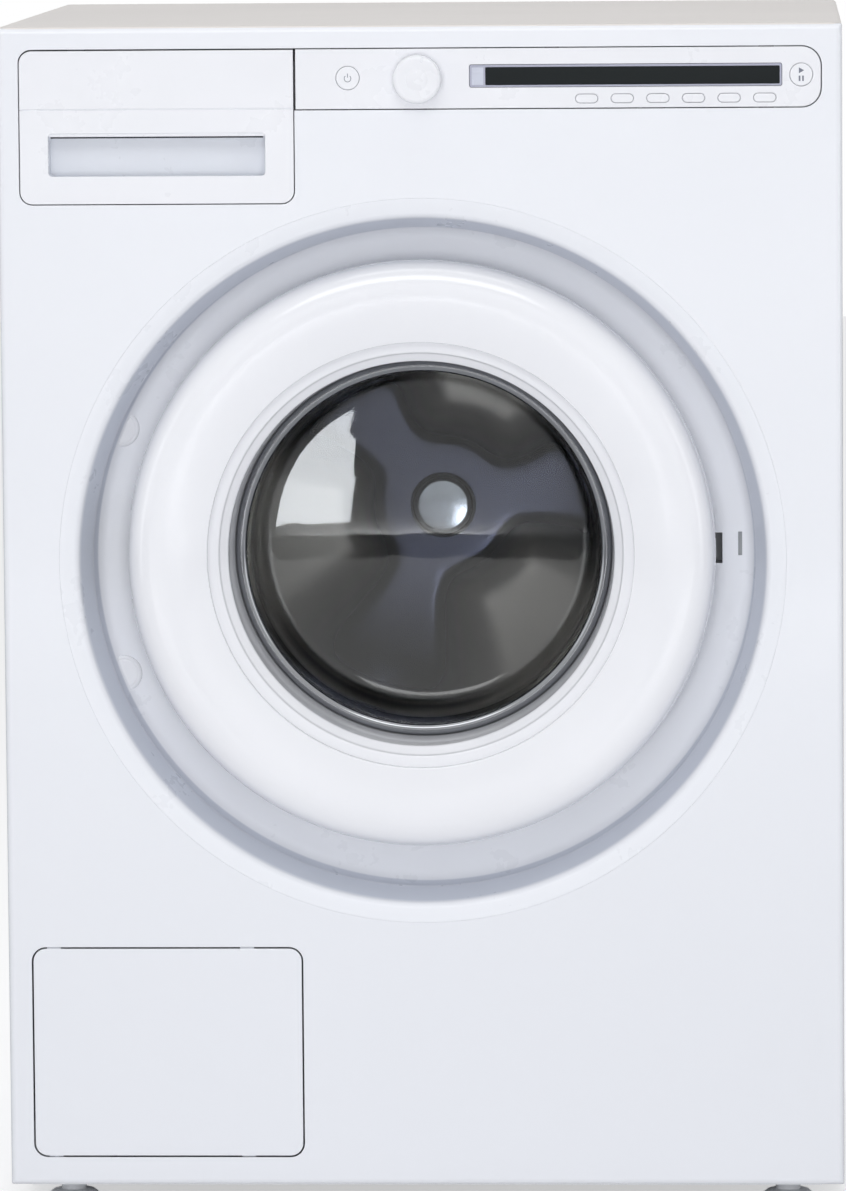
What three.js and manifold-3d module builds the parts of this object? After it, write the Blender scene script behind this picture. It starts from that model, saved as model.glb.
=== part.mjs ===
// Front-loading washing machine: cabinet, suspended tub, drum drive, door, drawer, controls and pump hatch.
// Millimetres, +Z up, front towards -Y. The origin is on the floor, under the middle of the machine.
import * as THREE from 'three';
import { mergeVertices } from 'three/addons/utils/BufferGeometryUtils.js';
import Module from 'manifold-3d';

const wasm = await Module();
wasm.setup();

// Cabinet. Depths are measured back from the face of the front panel.
const cabinetWidth = 595;
const cabinetHeight = 850;
const cabinetDepth = 545;
const sheetWall = 1.2;
const clearance = 0.3;
const overrun = 5;
const footHeight = 24;
const panelReturnDepth = 16;
const panelEdgeRadius = 4;
const sideFlangeWidth = 14;
const worktopThickness = 15.5;
const worktopSetback = 0.9;
const worktopCornerRadius = 8;
const lidRimWall = 2.4;
const lidSkinWall = 3.6;
const sideFieldMargin = 46;
const sideFieldRadius = 30;
const sideFieldDepth = 2;
const trayWall = 2.4;
const trayHeight = 42;
const trayRibHeight = 12;
const trayRibWall = 3;
const trayRibShares = [0.3, 0.42, 0.66, 0.8];
const cornerBlockSize = 58;

// Levelling feet
const footPadRadius = 20;
const footPadHeight = 10;
const footStudRadius = 5;
const footStudLength = 46;
const footNutRadius = 9;
const footNutHeight = 5;
const footInset = 40;
const footChamfer = 2;

// Door recess in the front panel, as radii and depths
const recessZ = 470.5;
const recessLipRadius = 257.5;
const recessSlopeRadius = 246.5;
const recessSlopeDepth = 2.6;
const recessEdgeRadius = 244.2;
const recessEdgeDepth = 5;
const recessWallRadius = 235;
const recessWallDepth = 30;
const recessPocketRadius = 239;
const recessPocketDepth = 47;
const recessFloorRadius = 232;
const recessFloorDepth = 56;
const recessFloorInnerRadius = 170;
const recessThroatRadius = 164;
const recessThroatDepth = 82;
const recessWall = 2;
const capRadius = 13;
const capHeight = 2;
const capX = -217;
const capSpacing = 176;
const capZ = 473.5;

// Door, as radii and depths around the drum's axis
const doorX = -1.5;
const doorZ = 474.5;
const doorRadius = 209;
const doorFaceDepth = 4;
const doorFaceRadius = 192;
const doorShoulderDepth = 9;
const doorShoulderRadius = 205;
const doorRimDepth = 21;
const doorBackDepth = 36;
const doorBackEdgeRadius = 206;
const doorStepRadius = 151.4;
const doorStepDepth = 4.8;
const doorStepDrop = 5;
const funnelWall = 2.5;
const doorWall = 3;
const funnelBreakRadius = 143.5;
const funnelBreakDepth = 14;
const funnelEndDepth = 60;
const trimRadius = 134.7;
const trimWidth = 8;
const trimHeight = 7;
const trimLead = 4;
const trimCrestShare = 0.7;
const glassHold = 3;
const glassShoulder = 16;
const glassDomeRise = 9;
const glassWall = 4;
const glassBowlRadius = 118;
const glassBowlDepth = 118;
const glassDomeDepth = 137;
const backPlateDepth = 46;
const backPlateInnerRadius = 166;
const sealFaceRadius = 152;

// Door hinge and latch
const hingeInset = 10;
const hingeDepth = 18;
const hingeHalfHeight = 25;
const hingePinRadius = 3;
const hingeBarrelRadius = 5;
const hingeEarRadius = 5.5;
const hingeSweepSteps = 4;
const hingeEarWidth = 8;
const hingeEarWall = 5;
const hingeArmLength = 32;
const hingeArmWall = 6;
const hingeEarAngleShare = 1 / 3;
const hingePlateWall = 3;
const hingePlateWidth = 24;
const hingePlateOverhang = 12;
const hingeSweepShare = 7 / 12;
const latchX = 201;
const latchBase = 18;
const latchPlate = 3;
const latchWidth = 5;
const latchHeight = 14;
const latchNose = 4;
const latchNoseLength = 6;
const latchReach = 22;
const latchSlotWidth = 17;
const latchSlotHeight = 22;
const sensorSlotX = 224.6;
const sensorSlotZ = 477.6;
const sensorSlotWidth = 2.8;
const sensorSlotHeight = 17;
const lockWidth = 46;
const lockHeight = 90;
const lockDepth = 24;

// Drawer
const drawerLeft = -281.9;
const drawerRight = -88.4;
const drawerBottomDrop = 125;
const drawerTopDrop = 17.1;
const drawerRadius = 8.7;
const drawerFrontWall = 3;
const gripLeft = -261.8;
const gripRight = -108.6;
const gripBottomDrop = 105.5;
const gripTopDrop = 75.4;
const gripRadius = 3;
const gripDepth = 19;
const gripWall = 2;
const drawerRimDepth = 9;
const drawerRimWall = 2;
const runnerWidth = 4;
const trayCornerRadius = 5;
const spoutRadius = 19;
const spoutLength = 14;
const trayLength = 205;
const traySideGap = 9;
const trayBottomRise = 24;
const trayTopDrop = 14;
const drawerTrayWall = 2;
const trayDividerShares = [0.34, 0.62];
const trayDividerHeightShare = 0.85;
const housingWall = 2.5;
const housingGap = 2.5;
const lipHeight = 7;

// Control fascia
const fasciaLeft = -86.8;
const fasciaRight = 282.5;
const fasciaBottomDrop = 59;
const fasciaTopDrop = 16.8;
const fasciaEndRadius = 13.5;
const fasciaWall = 3;
const frameGap = 0.7;
const windowLeft = 35.7;
const windowRight = 255.4;
const windowBottomDrop = 44.4;
const windowTopDrop = 28.2;
const windowRadius = 1.5;
const lensRecess = 0.6;
const lensWall = 2;
const lensLip = 2;
const moduleInset = 3;
const moduleMargin = 9;
const moduleDepth = 13;
const powerX = -49.9;
const powerDrop = 37.2;
const powerRadius = 8.1;
const startX = 268.8;
const startDrop = 36.5;
const startRadius = 7.9;
const optionDrop = 52.5;
const optionFirstX = 118.2;
const optionPitch = 25;
const optionCount = 6;
const optionWidth = 15.4;
const optionHeight = 5.9;
const buttonProud = 0.4;
const buttonGap = 0.35;
const buttonFlange = 1;
const buttonFlangeWall = 1.2;
const buttonTravel = 1.5;
const buttonTravelRoom = 2;
const knobX = -0.6;
const knobDrop = 37.9;
const knobRadius = 17.1;
const knobProud = 16;
const knobFaceRadius = 14.5;
const knobCapRadius = 7.5;
const knobCapRecess = 0.8;
const knobShaftRadius = 4;
const knobSeatGap = 0.5;
const knobGroove = 0.8;
const knobRound = 1.4;
const knobNotchWidth = 1.6;
const knobNotchLength = 4;
const knobNotchShare = 1 / 24;

// Pump hatch and drain pump
const hatchLeft = -279.7;
const hatchRight = -88.1;
const hatchBottom = 45;
const hatchTop = 194.3;
const hatchRadius = 9;
const hatchGap = 1.1;
const hatchWall = 2.5;
const hatchRimDepth = 7;
const hatchRimWall = 2;
const hatchPinX = -265;
const hatchPinDepth = 4.5;
const hatchPinRadius = 1.8;
const hatchPinLength = 6;
const hatchLugWall = 3.2;
const hatchLugHeight = 4;
const hatchClipX = -127;
const hatchTabWidth = 10;
const pumpX = -178;
const pumpZ = 104;
const pumpRadius = 36;
const pumpFrontDepth = 46;
const pumpLength = 118;
const pumpStepShares = [0.45, 0.52];
const pumpNeckShare = 0.65;
const chamberGap = 1;
const portOffset = 12;
const portRadius = 14;
const portWall = 3;
const portLength = 14;
const plugRadius = 30;
const plugWall = 7;
const plugGripWidth = 9;
const plugGripHeight = 13;
const plugStemRadius = 24;
const plugStemLength = 34;

// Tub, drum and drive
const tubRadius = 262;
const tubWall = 4;
const tubFrontDepth = 92;
const tubSeamShare = 0.4972;
const tubMouthRadius = 154;
const tubHubRadius = 46;
const tubHubLength = 36;
const tubFlangeWidth = 9;
const tubFlangeWall = 5;
const tubRibCount = 8;
const tubRibWall = 4;
const tubRibHeight = 14;
const tubCornerRadius = 14;
const bearingInset = 2;
const bearingSpacer = 3;
const sealWall = 3;
const sealInnerRadius = 139;
const sealFaceOuter = 148;
const sealNeckRadius = 152;
const sealBaseRadius = 165;
const drumRadius = 241;
const drumWall = 1.5;
const drumFrontDepth = 106;
const drumRearRoom = 121;
const drumTubGap = 22;
const drumMouthRadius = 147;
const drumLipDepth = 9;
const drumLipRound = 4;
const drumCornerRadius = 9;
const starDepth = 26;
const starHubRadius = 46;
const starPlateWall = 2;
const starArmCount = 3;
const starArmShares = [0.15, 0.9];
const starFadeShares = [0.5, 1];
const starHubShare = 1.7;
const starRings = 6;
const starSpokes = 24;
const starAngleShare = 10 / 360;
const lifterHeight = 44;
const lifterBaseWidth = 66;
const lifterTopWidth = 24;
const lifterLength = 250;
const lifterRound = 7;
const lifterInset = 14;
const lifterWall = 2.5;
const hubCapRadius = 25;
const hubCapRise = 9;
const hubCapShares = [0.45, 0.8];
const hubCapDropShares = [0.08, 0.4];
const shaftRadius = 12.5;
const spiderArmWidth = 34;
const spiderArmDepth = 12;
const spiderHubRadius = 38;
const spiderTipShare = 0.6;
const shaftTail = 5;
const bearingFrontRadius = 31;
const bearingRearRadius = 26;
const bearingWidth = 15;
const pulleyRadius = 132;
const pulleyWidth = 16;
const pulleyWebWall = 4;
const pulleyHubRadius = 26;
const pulleyRoom = 46;
const pulleyHoleCount = 5;
const pulleyHoleRadius = 27;
const beltWall = 3.5;
const motorX = 92;
const motorZ = 152;
const motorRadius = 56;
const motorLength = 120;
const motorPulleyRadius = 11;
const motorShaftRadius = 5;
const motorMountWidth = 40;
const motorGap = 22;
const motorBossRise = 6;
const motorHangerShares = [0.2, 0.8];
const motorHangerWall = 10;
const motorChamfer = 8;
const motorFinCount = 2;
const motorFinDepth = 5;
const motorFinWidth = 12;
const motorShaftSeat = 16;
const pulleyLip = 1.2;
const beltSteps = 12;
const heaterTubeRadius = 4;
const heaterReach = 170;
const heaterHalfWidth = 26;
const heaterFlangeWall = 5;
const heaterTail = 12;
const heaterMargin = 7;
const heaterTipShare = 4 / 3;
const heaterSteps = 11;
const heaterSides = 6;
const weightWidth = 230;
const weightDepth = 160;
const weightTopDrop = 44;
const weightFrontDepth = 98;
const weightOffsetX = 42;
const weightSkirt = 34;
const weightRadius = 12;
const damperX = 186;
const damperDepth = 292;
const damperRadius = 15;
const damperBore = 7;
const damperLength = 128;
const damperFlange = 5;
const damperLugDrop = 24;
const rodRadius = 5;
const rodEngagement = 78;
const rodEyeRadius = 11;
const sumpHoseRadius = 14;
const sumpHoseWall = 3;
const sumpX = -108;
const sumpDepth = 138;
const spigotWall = 4;
const spigotDrop = 8;
const hoseSteps = 7;
const hoseSides = 10;

// Rear of the cabinet
const serviceRadius = 168;
const serviceRise = 5;
const serviceSlope = 14;
const transitHoleRadius = 11;
const transitX = 205;
const transitUpperZ = 640;
const transitLowerZ = 260;
const valveX = 210;
const valveDrop = 60;
const valveBodyWidth = 38;
const valveBodyLength = 46;
const coilShare = 0.7;
const coilDrop = 16;
const nozzleRadius = 13;
const nozzleBore = 8;
const nozzleLength = 24;
const glandX = -225;
const glandZ = 120;
const glandRadius = 11;
const glandRise = 8;
const glandLength = 14;
const glandFlangeRadius = 16;
const glandBore = 4;

// Facet counts round a full turn
const recessSegments = 36;
const doorSegments = 32;
const tubSegments = 24;
const roundSegments = 16;
const smallSegments = 8;
const holeSteps = 8;
const cornerSteps = 2;
const pillSteps = 1;

// Finishes
const finish = (color, roughness, metalness = 0) => ({ color, roughness, metalness });
const whitePaint = finish(0xeef0f6, 0.25);
const whitePlastic = finish(0xf1f1f8, 0.35);
const topPaint = finish(0xe2dedc, 0.4);
const zinc = finish(0xb4b8bc, 0.45, 0.8);
const steel = finish(0xc4c6ca, 0.25, 0.95);
const castAlloy = finish(0xa6a8ab, 0.5, 0.85);
const greyPlastic = finish(0x9a9da1, 0.6);
const blackPlastic = finish(0x1d1f21, 0.5);
const rubber = finish(0x3a3c3f, 0.85);
const concrete = finish(0x8f8c86, 0.95);
const darkGlass = finish(0x14191b, 0.15);
const clearGlass = finish(0xbfc9cc, 0.08);
const copper = finish(0xa8683c, 0.45, 0.7);

const machine = new THREE.Group();
const body = new THREE.Group();
machine.add(body);

// A closed three.js geometry as a solid, with its faces turned outward.
function solidOf(geometry) {
  const bare = geometry.index ? geometry.toNonIndexed() : geometry.clone();
  for (const name of Object.keys(bare.attributes)) {
    if (name !== 'position') bare.deleteAttribute(name);
  }
  const merged = mergeVertices(bare, clearance * 1e-3);
  const index = merged.index.array;
  const points = merged.attributes.position.array;
  const corners = [];
  let volume = 0;
  for (let i = 0; i < index.length; i += 3) {
    const [a, b, c] = [index[i], index[i + 1], index[i + 2]];
    if (a === b || b === c || a === c) continue;
    corners.push(a, b, c);
    const [p, q, r] = [a, b, c].map((k) => new THREE.Vector3().fromArray(points, 3 * k));
    volume += p.dot(q.cross(r));
  }
  if (volume < 0) corners.reverse();
  const mesh = new wasm.Mesh({
    numProp: 3,
    vertProperties: new Float32Array(points),
    triVerts: new Uint32Array(corners),
  });
  return new wasm.Manifold(mesh);
}

const join = (first, ...others) => others.reduce((sum, other) => sum.add(other), first);
const cut = (first, ...others) => others.reduce((rest, other) => rest.subtract(other), first);
const common = (first, second) => first.intersect(second);

// Adds a solid to the machine as a named mesh.
function piece(name, solid, look) {
  const { vertProperties, triVerts } = solid.getMesh();
  const geometry = new THREE.BufferGeometry();
  geometry.setAttribute('position', new THREE.BufferAttribute(vertProperties, 3));
  geometry.setIndex(new THREE.BufferAttribute(triVerts, 1));
  geometry.computeVertexNormals();
  const mesh = new THREE.Mesh(geometry, new THREE.MeshStandardMaterial(look));
  mesh.name = name;
  body.add(mesh);
  return mesh;
}

// A rectangle from (left, low) to (right, high) with round corners; a radius of 0 leaves one square.
// Radii run from the lower left corner anticlockwise.
function roundedRect(left, low, right, high, radii) {
  const [a, b, c, d] = Array.isArray(radii) ? radii : [radii, radii, radii, radii];
  const path = new THREE.Shape();
  path.moveTo(left + a, low);
  path.lineTo(right - b, low);
  if (b) path.absarc(right - b, low + b, b, -Math.PI / 2, 0);
  path.lineTo(right, high - c);
  if (c) path.absarc(right - c, high - c, c, 0, Math.PI / 2);
  path.lineTo(left + d, high);
  if (d) path.absarc(left + d, high - d, d, Math.PI / 2, Math.PI);
  path.lineTo(left, low + a);
  if (a) path.absarc(left + a, low + a, a, Math.PI, 1.5 * Math.PI);
  return path;
}

function circleShape(x, y, radius) {
  const path = new THREE.Shape();
  path.absarc(x, y, radius, 0, 2 * Math.PI);
  return path;
}

function polygonShape(points) {
  return new THREE.Shape(points.map(([x, y]) => new THREE.Vector2(x, y)));
}

// Extrusions: a front view shape from one depth to another, a plan from one height to another,
// and a side view shape (depth, height) from one x to another.

function extruded(shape, length, steps = cornerSteps) {
  return new THREE.ExtrudeGeometry(shape, { depth: length, bevelEnabled: false, curveSegments: steps });
}

function frontPlate(shape, near, far, steps) {
  return solidOf(extruded(shape, far - near, steps).rotateX(Math.PI / 2).translate(0, far, 0));
}

function floorPlate(shape, low, high, steps) {
  return solidOf(extruded(shape, high - low, steps).translate(0, 0, low));
}

function sidePlate(shape, left, right, steps) {
  const turn = new THREE.Matrix4().makeBasis(
    new THREE.Vector3(0, 1, 0),
    new THREE.Vector3(0, 0, 1),
    new THREE.Vector3(1, 0, 0),
  );
  return solidOf(extruded(shape, right - left, steps).applyMatrix4(turn).translate(left, 0, 0));
}

function block(x0, x1, y0, y1, z0, z1) {
  const box = new THREE.BoxGeometry(x1 - x0, y1 - y0, z1 - z0);
  return solidOf(box.translate((x0 + x1) / 2, (y0 + y1) / 2, (z0 + z1) / 2));
}

// A closed profile of [radius, depth] points revolved about a front to back axis through (x, z).
function turned(profile, x, z, segments) {
  const closed = [...profile, profile[0]].map(([r, y]) => new THREE.Vector2(r, y));
  return solidOf(new THREE.LatheGeometry(closed, segments).translate(x, 0, z));
}

// The same about an upright axis through (x, y), with [radius, height] points.
function upright(profile, x, y, segments) {
  const closed = [...profile, profile[0]].map(([r, z]) => new THREE.Vector2(r, z));
  const geometry = new THREE.LatheGeometry(closed, segments).rotateX(Math.PI / 2);
  return solidOf(geometry.translate(x, y, 0));
}

const rod = (radius, near, far) => [[0, near], [radius, near], [radius, far], [0, far]];
const tube = (inner, outer, near, far) => [[inner, near], [outer, near], [outer, far], [inner, far]];

// A thin skin: the given line of points, and the same line moved over by the wall.
// The wall lies to the right of the way the line runs, or to its left where it is negative.
function skin(line, wall) {
  const points = line.map(([x, y]) => new THREE.Vector2(x, y));
  const along = points.slice(1).map((p, i) => p.clone().sub(points[i]).normalize());
  const moved = points.map((p, i) => {
    const before = along[Math.max(i - 1, 0)];
    const after = along[Math.min(i, along.length - 1)];
    const mean = before.clone().add(after).normalize();
    const side = new THREE.Vector2(mean.y, -mean.x);
    const straight = new THREE.Vector2(after.y, -after.x);
    return p.clone().addScaledVector(side, wall / side.dot(straight));
  });
  return [...points, ...moved.reverse()].map((p) => [p.x, p.y]);
}

// A faceted bore's radius that clears a shaft turning in it.
const runningBore = (shaft, segments) => (shaft + clearance) / Math.cos(Math.PI / segments);

// Turns a solid about a front to back axis through (x, z).
function spun(solid, x, z, angle) {
  const degrees = THREE.MathUtils.radToDeg(angle);
  return solid.translate([-x, 0, -z]).rotate([0, -degrees, 0]).translate([x, 0, z]);
}

const mirrored = (solid) => solid.mirror([1, 0, 0]);

// Places worked out from the driving dimensions
const halfWidth = cabinetWidth / 2;
const innerHalf = halfWidth - sheetWall - clearance;
const sideStart = panelReturnDepth + clearance;
const rearInner = cabinetDepth - sheetWall;
const lidBottom = cabinetHeight - worktopThickness;
const sideTop = lidBottom - clearance;
const trayFloor = footHeight + trayWall;
const drumRearDepth = cabinetDepth - drumRearRoom;
const tubRearDepth = drumRearDepth + drumTubGap;
const tubSeamDepth = tubFrontDepth + tubSeamShare * (tubRearDepth - tubFrontDepth);
const pulleyDepth = tubRearDepth + pulleyRoom;
const drawerBottom = cabinetHeight - drawerBottomDrop;
const drawerTop = cabinetHeight - drawerTopDrop;
const gripBottom = cabinetHeight - gripBottomDrop;
const gripTop = cabinetHeight - gripTopDrop;
const fasciaBottom = cabinetHeight - fasciaBottomDrop;
const fasciaTop = cabinetHeight - fasciaTopDrop;
const windowBottom = cabinetHeight - windowBottomDrop;
const windowTop = cabinetHeight - windowTopDrop;
const powerZ = cabinetHeight - powerDrop;
const startZ = cabinetHeight - startDrop;
const optionZ = cabinetHeight - optionDrop;
const knobZ = cabinetHeight - knobDrop;
const valveZ = cabinetHeight - valveDrop;
const footX = halfWidth - footInset;
const footFront = footInset + panelReturnDepth;
const footRear = cabinetDepth - footInset;
const blockHalf = cornerBlockSize / 2;
const hatchPinY = hatchPinDepth;
const recessBack = recessFloorDepth + recessWall;
const drawerHole = roundedRect(
  drawerLeft - frameGap,
  drawerBottom - frameGap,
  drawerRight + frameGap,
  drawerTop + frameGap,
  [drawerRadius + frameGap, drawerRadius + frameGap, 0, drawerRadius + frameGap],
);
const fasciaHole = roundedRect(
  fasciaLeft - frameGap,
  fasciaBottom - frameGap,
  fasciaRight + frameGap,
  fasciaTop + frameGap,
  [0, fasciaEndRadius + frameGap, fasciaEndRadius + frameGap, 0],
);

function makeFrontPanel() {
  const outer = roundedPlan(halfWidth, 0, panelReturnDepth, panelEdgeRadius);
  const inner = roundedPlan(halfWidth - sheetWall, sheetWall, panelReturnDepth + overrun,
    panelEdgeRadius - sheetWall);
  const sheet = cut(
    floorPlate(outer, footHeight, cabinetHeight - worktopSetback),
    floorPlate(inner, 0, cabinetHeight + overrun),
  );
  const hatchHole = roundedRect(
    hatchLeft - hatchGap,
    hatchBottom - hatchGap,
    hatchRight + hatchGap,
    hatchTop + hatchGap,
    hatchRadius + hatchGap,
  );
  const lugs = [hatchTop, hatchBottom].map((edge, i) => {
    const up = i === 0 ? 1 : -1;
    const near = edge + up * (hatchGap + clearance);
    const [low, high] = [near, near + up * hatchLugHeight].sort((a, b) => a - b);
    const half = hatchPinRadius + hatchLugWall;
    return cut(
      block(hatchPinX - half, hatchPinX + half, sheetWall / 2, hatchPinY + half, low, high),
      upright(rod(hatchPinRadius + clearance, low - overrun, high + overrun), hatchPinX, hatchPinY,
        smallSegments),
    );
  });
  const recessHole = circleShape(0, recessZ, recessLipRadius + clearance);
  const panel = cut(
    sheet,
    frontPlate(recessHole, -overrun, sheetWall + overrun, recessSegments / 2),
    frontPlate(drawerHole, -overrun, sheetWall + overrun),
    frontPlate(fasciaHole, -overrun, sheetWall + overrun),
    frontPlate(hatchHole, -overrun, sheetWall + overrun),
  );
  piece('front_panel', join(panel, ...lugs), whitePaint);
}

// The plan of a sheet folded back at both sides.
function roundedPlan(half, near, far, radius) {
  return roundedRect(-half, near, half, far, [radius, radius, 0, 0]);
}

// One side wall: a sheet with inward flanges front and rear, and a shallow pressed field.
function makeSides() {
  const far = rearInner - clearance;
  const wallSheet = cut(
    block(-halfWidth, -halfWidth + sideFlangeWidth, sideStart, far, footHeight, sideTop),
    block(
      -halfWidth + sheetWall,
      0,
      sideStart + sheetWall,
      far - sheetWall,
      footHeight - overrun,
      sideTop + overrun,
    ),
  );
  const field = (grow) => {
    const shape = roundedRect(
      sideStart + sideFieldMargin - grow,
      footHeight + sideFieldMargin - grow,
      far - sideFieldMargin + grow,
      sideTop - sideFieldMargin + grow,
      sideFieldRadius + grow,
    );
    return shape;
  };
  const pad = sidePlate(
    field(sheetWall),
    -halfWidth + sheetWall / 2,
    -halfWidth + sheetWall + sideFieldDepth,
  );
  const hollow = sidePlate(field(0), -halfWidth - overrun, -halfWidth + sideFieldDepth);
  const side = cut(join(wallSheet, pad), hollow);
  piece('side_panel_left', side, whitePaint);
  piece('side_panel_right', mirrored(side), whitePaint);
}

// The rear wall, with its pressed service dome, transit holes and openings for water and mains.
function makeRear() {
  const outline = roundedRect(-halfWidth, footHeight, halfWidth, sideTop, 0);
  const dome = [
    [0, cabinetDepth - serviceRise],
    [serviceRadius - serviceSlope, cabinetDepth - serviceRise],
    [serviceRadius, cabinetDepth],
    [serviceRadius, cabinetDepth + overrun],
    [0, cabinetDepth + overrun],
  ];
  const bulge = [
    [0, rearInner - serviceRise],
    [serviceRadius - serviceSlope + sheetWall, rearInner - serviceRise],
    [serviceRadius + sheetWall, rearInner],
    [serviceRadius + sheetWall, rearInner + sheetWall / 2],
    [0, rearInner + sheetWall / 2],
  ];
  const holes = [];
  for (const side of [-1, 1]) {
    for (const z of [transitUpperZ, transitLowerZ]) {
      holes.push(circleShape(side * transitX, z, transitHoleRadius));
    }
  }
  holes.push(circleShape(valveX, valveZ, nozzleRadius + clearance));
  holes.push(circleShape(glandX, glandZ, glandRadius + clearance));
  const plate = join(frontPlate(outline, rearInner, cabinetDepth), turned(bulge, doorX, doorZ, tubSegments));
  const drilled = cut(
    plate,
    turned(dome, doorX, doorZ, tubSegments),
    ...holes.map((shape) => frontPlate(shape, rearInner - overrun, cabinetDepth + overrun, holeSteps)),
  );
  piece('rear_panel', drilled, zinc);
}

// The lid: its front part sits between the folded sides of the front panel.
function makeWorktop() {
  const step = sheetWall + clearance;
  const near = step;
  const shoulder = panelReturnDepth + clearance;
  const narrow = halfWidth - step;
  const front = roundedPlan(narrow, near, cabinetDepth, panelEdgeRadius - step);
  const rear = roundedRect(
    -halfWidth,
    shoulder,
    halfWidth,
    cabinetDepth,
    [0, 0, worktopCornerRadius, worktopCornerRadius],
  );
  const plan = common(
    join(floorPlate(front, lidBottom, cabinetHeight), floorPlate(rear, lidBottom, cabinetHeight)),
    floorPlate(roundedRect(-halfWidth, 0, halfWidth, cabinetDepth,
      [0, 0, worktopCornerRadius, worktopCornerRadius]), 0, cabinetHeight + overrun),
  );
  const rim = lidRimWall + step;
  const hollow = block(-halfWidth + rim, halfWidth - rim, near + rim, cabinetDepth - rim, lidBottom - overrun,
    cabinetHeight - lidSkinWall);
  piece('worktop', cut(plan, hollow), topPaint);
}

// The floor tray, with upstands, foot blocks, ribs and damper seats.
function makeBaseTray() {
  const near = sheetWall + clearance;
  const far = rearInner - clearance;
  const top = footHeight + trayHeight;
  const plan = roundedPlan(innerHalf - sideFlangeWidth, near, sideStart + sheetWall + overrun, 0);
  const wide = roundedRect(-innerHalf, sideStart + sheetWall + clearance, innerHalf,
    far - sheetWall - clearance, 0);
  const shell = cut(
    join(floorPlate(plan, footHeight, top), floorPlate(wide, footHeight, top)),
    block(-innerHalf + trayWall, innerHalf - trayWall, sideStart + sheetWall + clearance + trayWall,
      far - sheetWall - clearance - trayWall, trayFloor, top + overrun),
    block(-innerHalf + sideFlangeWidth + trayWall, innerHalf - sideFlangeWidth - trayWall, near + trayWall,
      sideStart + sheetWall + overrun + trayWall, trayFloor, top + overrun),
    block(-innerHalf + trayWall, innerHalf - trayWall, -overrun, sideStart + sheetWall + overrun + trayWall,
      trayFloor + trayRibHeight, top + overrun),
  );
  const solids = [];
  for (const y of [footFront, footRear]) {
    for (const x of [-footX, footX]) {
      solids.push(block(x - blockHalf, x + blockHalf, y - blockHalf, y + blockHalf,
        footHeight + trayWall / 2, top));
    }
  }
  for (const share of trayRibShares) {
    const y = near + share * (far - near);
    solids.push(block(-innerHalf + trayWall / 2, innerHalf - trayWall / 2, y - trayRibWall / 2,
      y + trayRibWall / 2, footHeight + trayWall / 2, trayFloor + trayRibHeight));
  }
  const bores = [];
  for (const y of [footFront, footRear]) {
    for (const x of [-footX, footX]) {
      const wide = rod(footNutRadius + clearance, footHeight - overrun,
        footHeight + footNutHeight + clearance);
      bores.push(upright(wide, x, y, smallSegments));
      bores.push(upright(rod(footStudRadius + clearance, 0, top + overrun), x, y, smallSegments));
    }
  }
  piece('base_tray', cut(join(shell, ...solids), ...bores), zinc);
}

// A levelling foot: rubber faced pad, lock nut and stud in one, standing on the floor.
function makeFeet() {
  const sides = [['left', -footX], ['right', footX]];
  const rows = [['front', footFront], ['rear', footRear]];
  for (const [row, y] of rows) {
    for (const [side, x] of sides) {
      const pad = footPadRadius;
      const profile = [
        [0, 0],
        [pad - footChamfer, 0],
        [pad, footChamfer],
        [pad - footChamfer, footPadHeight],
        [footNutRadius, footPadHeight + footChamfer],
        [footNutRadius, footHeight + footNutHeight - clearance],
        [footStudRadius, footHeight + footNutHeight - clearance],
        [footStudRadius, footHeight + footStudLength],
        [0, footHeight + footStudLength],
      ];
      piece(`foot_${row}_${side}`, upright(profile, x, y, smallSegments), blackPlastic);
    }
  }
}

// The dished plastic ring that fills the round opening, with its latch slots and two screw caps.
function makeRecessRing() {
  const line = [
    [recessLipRadius, 0],
    [recessSlopeRadius, recessSlopeDepth],
    [recessEdgeRadius, recessEdgeDepth],
    [recessWallRadius, recessWallDepth],
    [recessPocketRadius, recessPocketDepth],
    [recessFloorRadius, recessFloorDepth],
    [recessFloorInnerRadius, recessFloorDepth],
    [recessThroatRadius, recessThroatDepth],
  ];
  const ring = turned(skin(line, recessWall), 0, recessZ, recessSegments);
  const slots = [
    rectAt(latchSlotX, latchZ, latchSlotWidth, latchSlotHeight),
    rectAt(sensorSlotX, sensorSlotZ, sensorSlotWidth, sensorSlotHeight),
  ].map((shape) => frontPlate(shape, recessFloorDepth - overrun, recessBack + overrun));
  const caps = [-1, 1].map((side) => turned([
    [0, recessFloorDepth - capHeight],
    [capRadius - capHeight, recessFloorDepth - capHeight],
    [capRadius, recessFloorDepth - capHeight / 2],
    [capRadius, recessFloorDepth + recessWall / 2],
    [0, recessFloorDepth + recessWall / 2],
  ], capX, capZ + (side * capSpacing) / 2, smallSegments));
  piece('door_recess_ring', cut(join(ring, ...caps), ...slots), whitePlastic);
}

function rectAt(x, z, width, height) {
  return roundedRect(x - width / 2, z - height / 2, x + width / 2, z + height / 2, 0);
}

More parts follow.
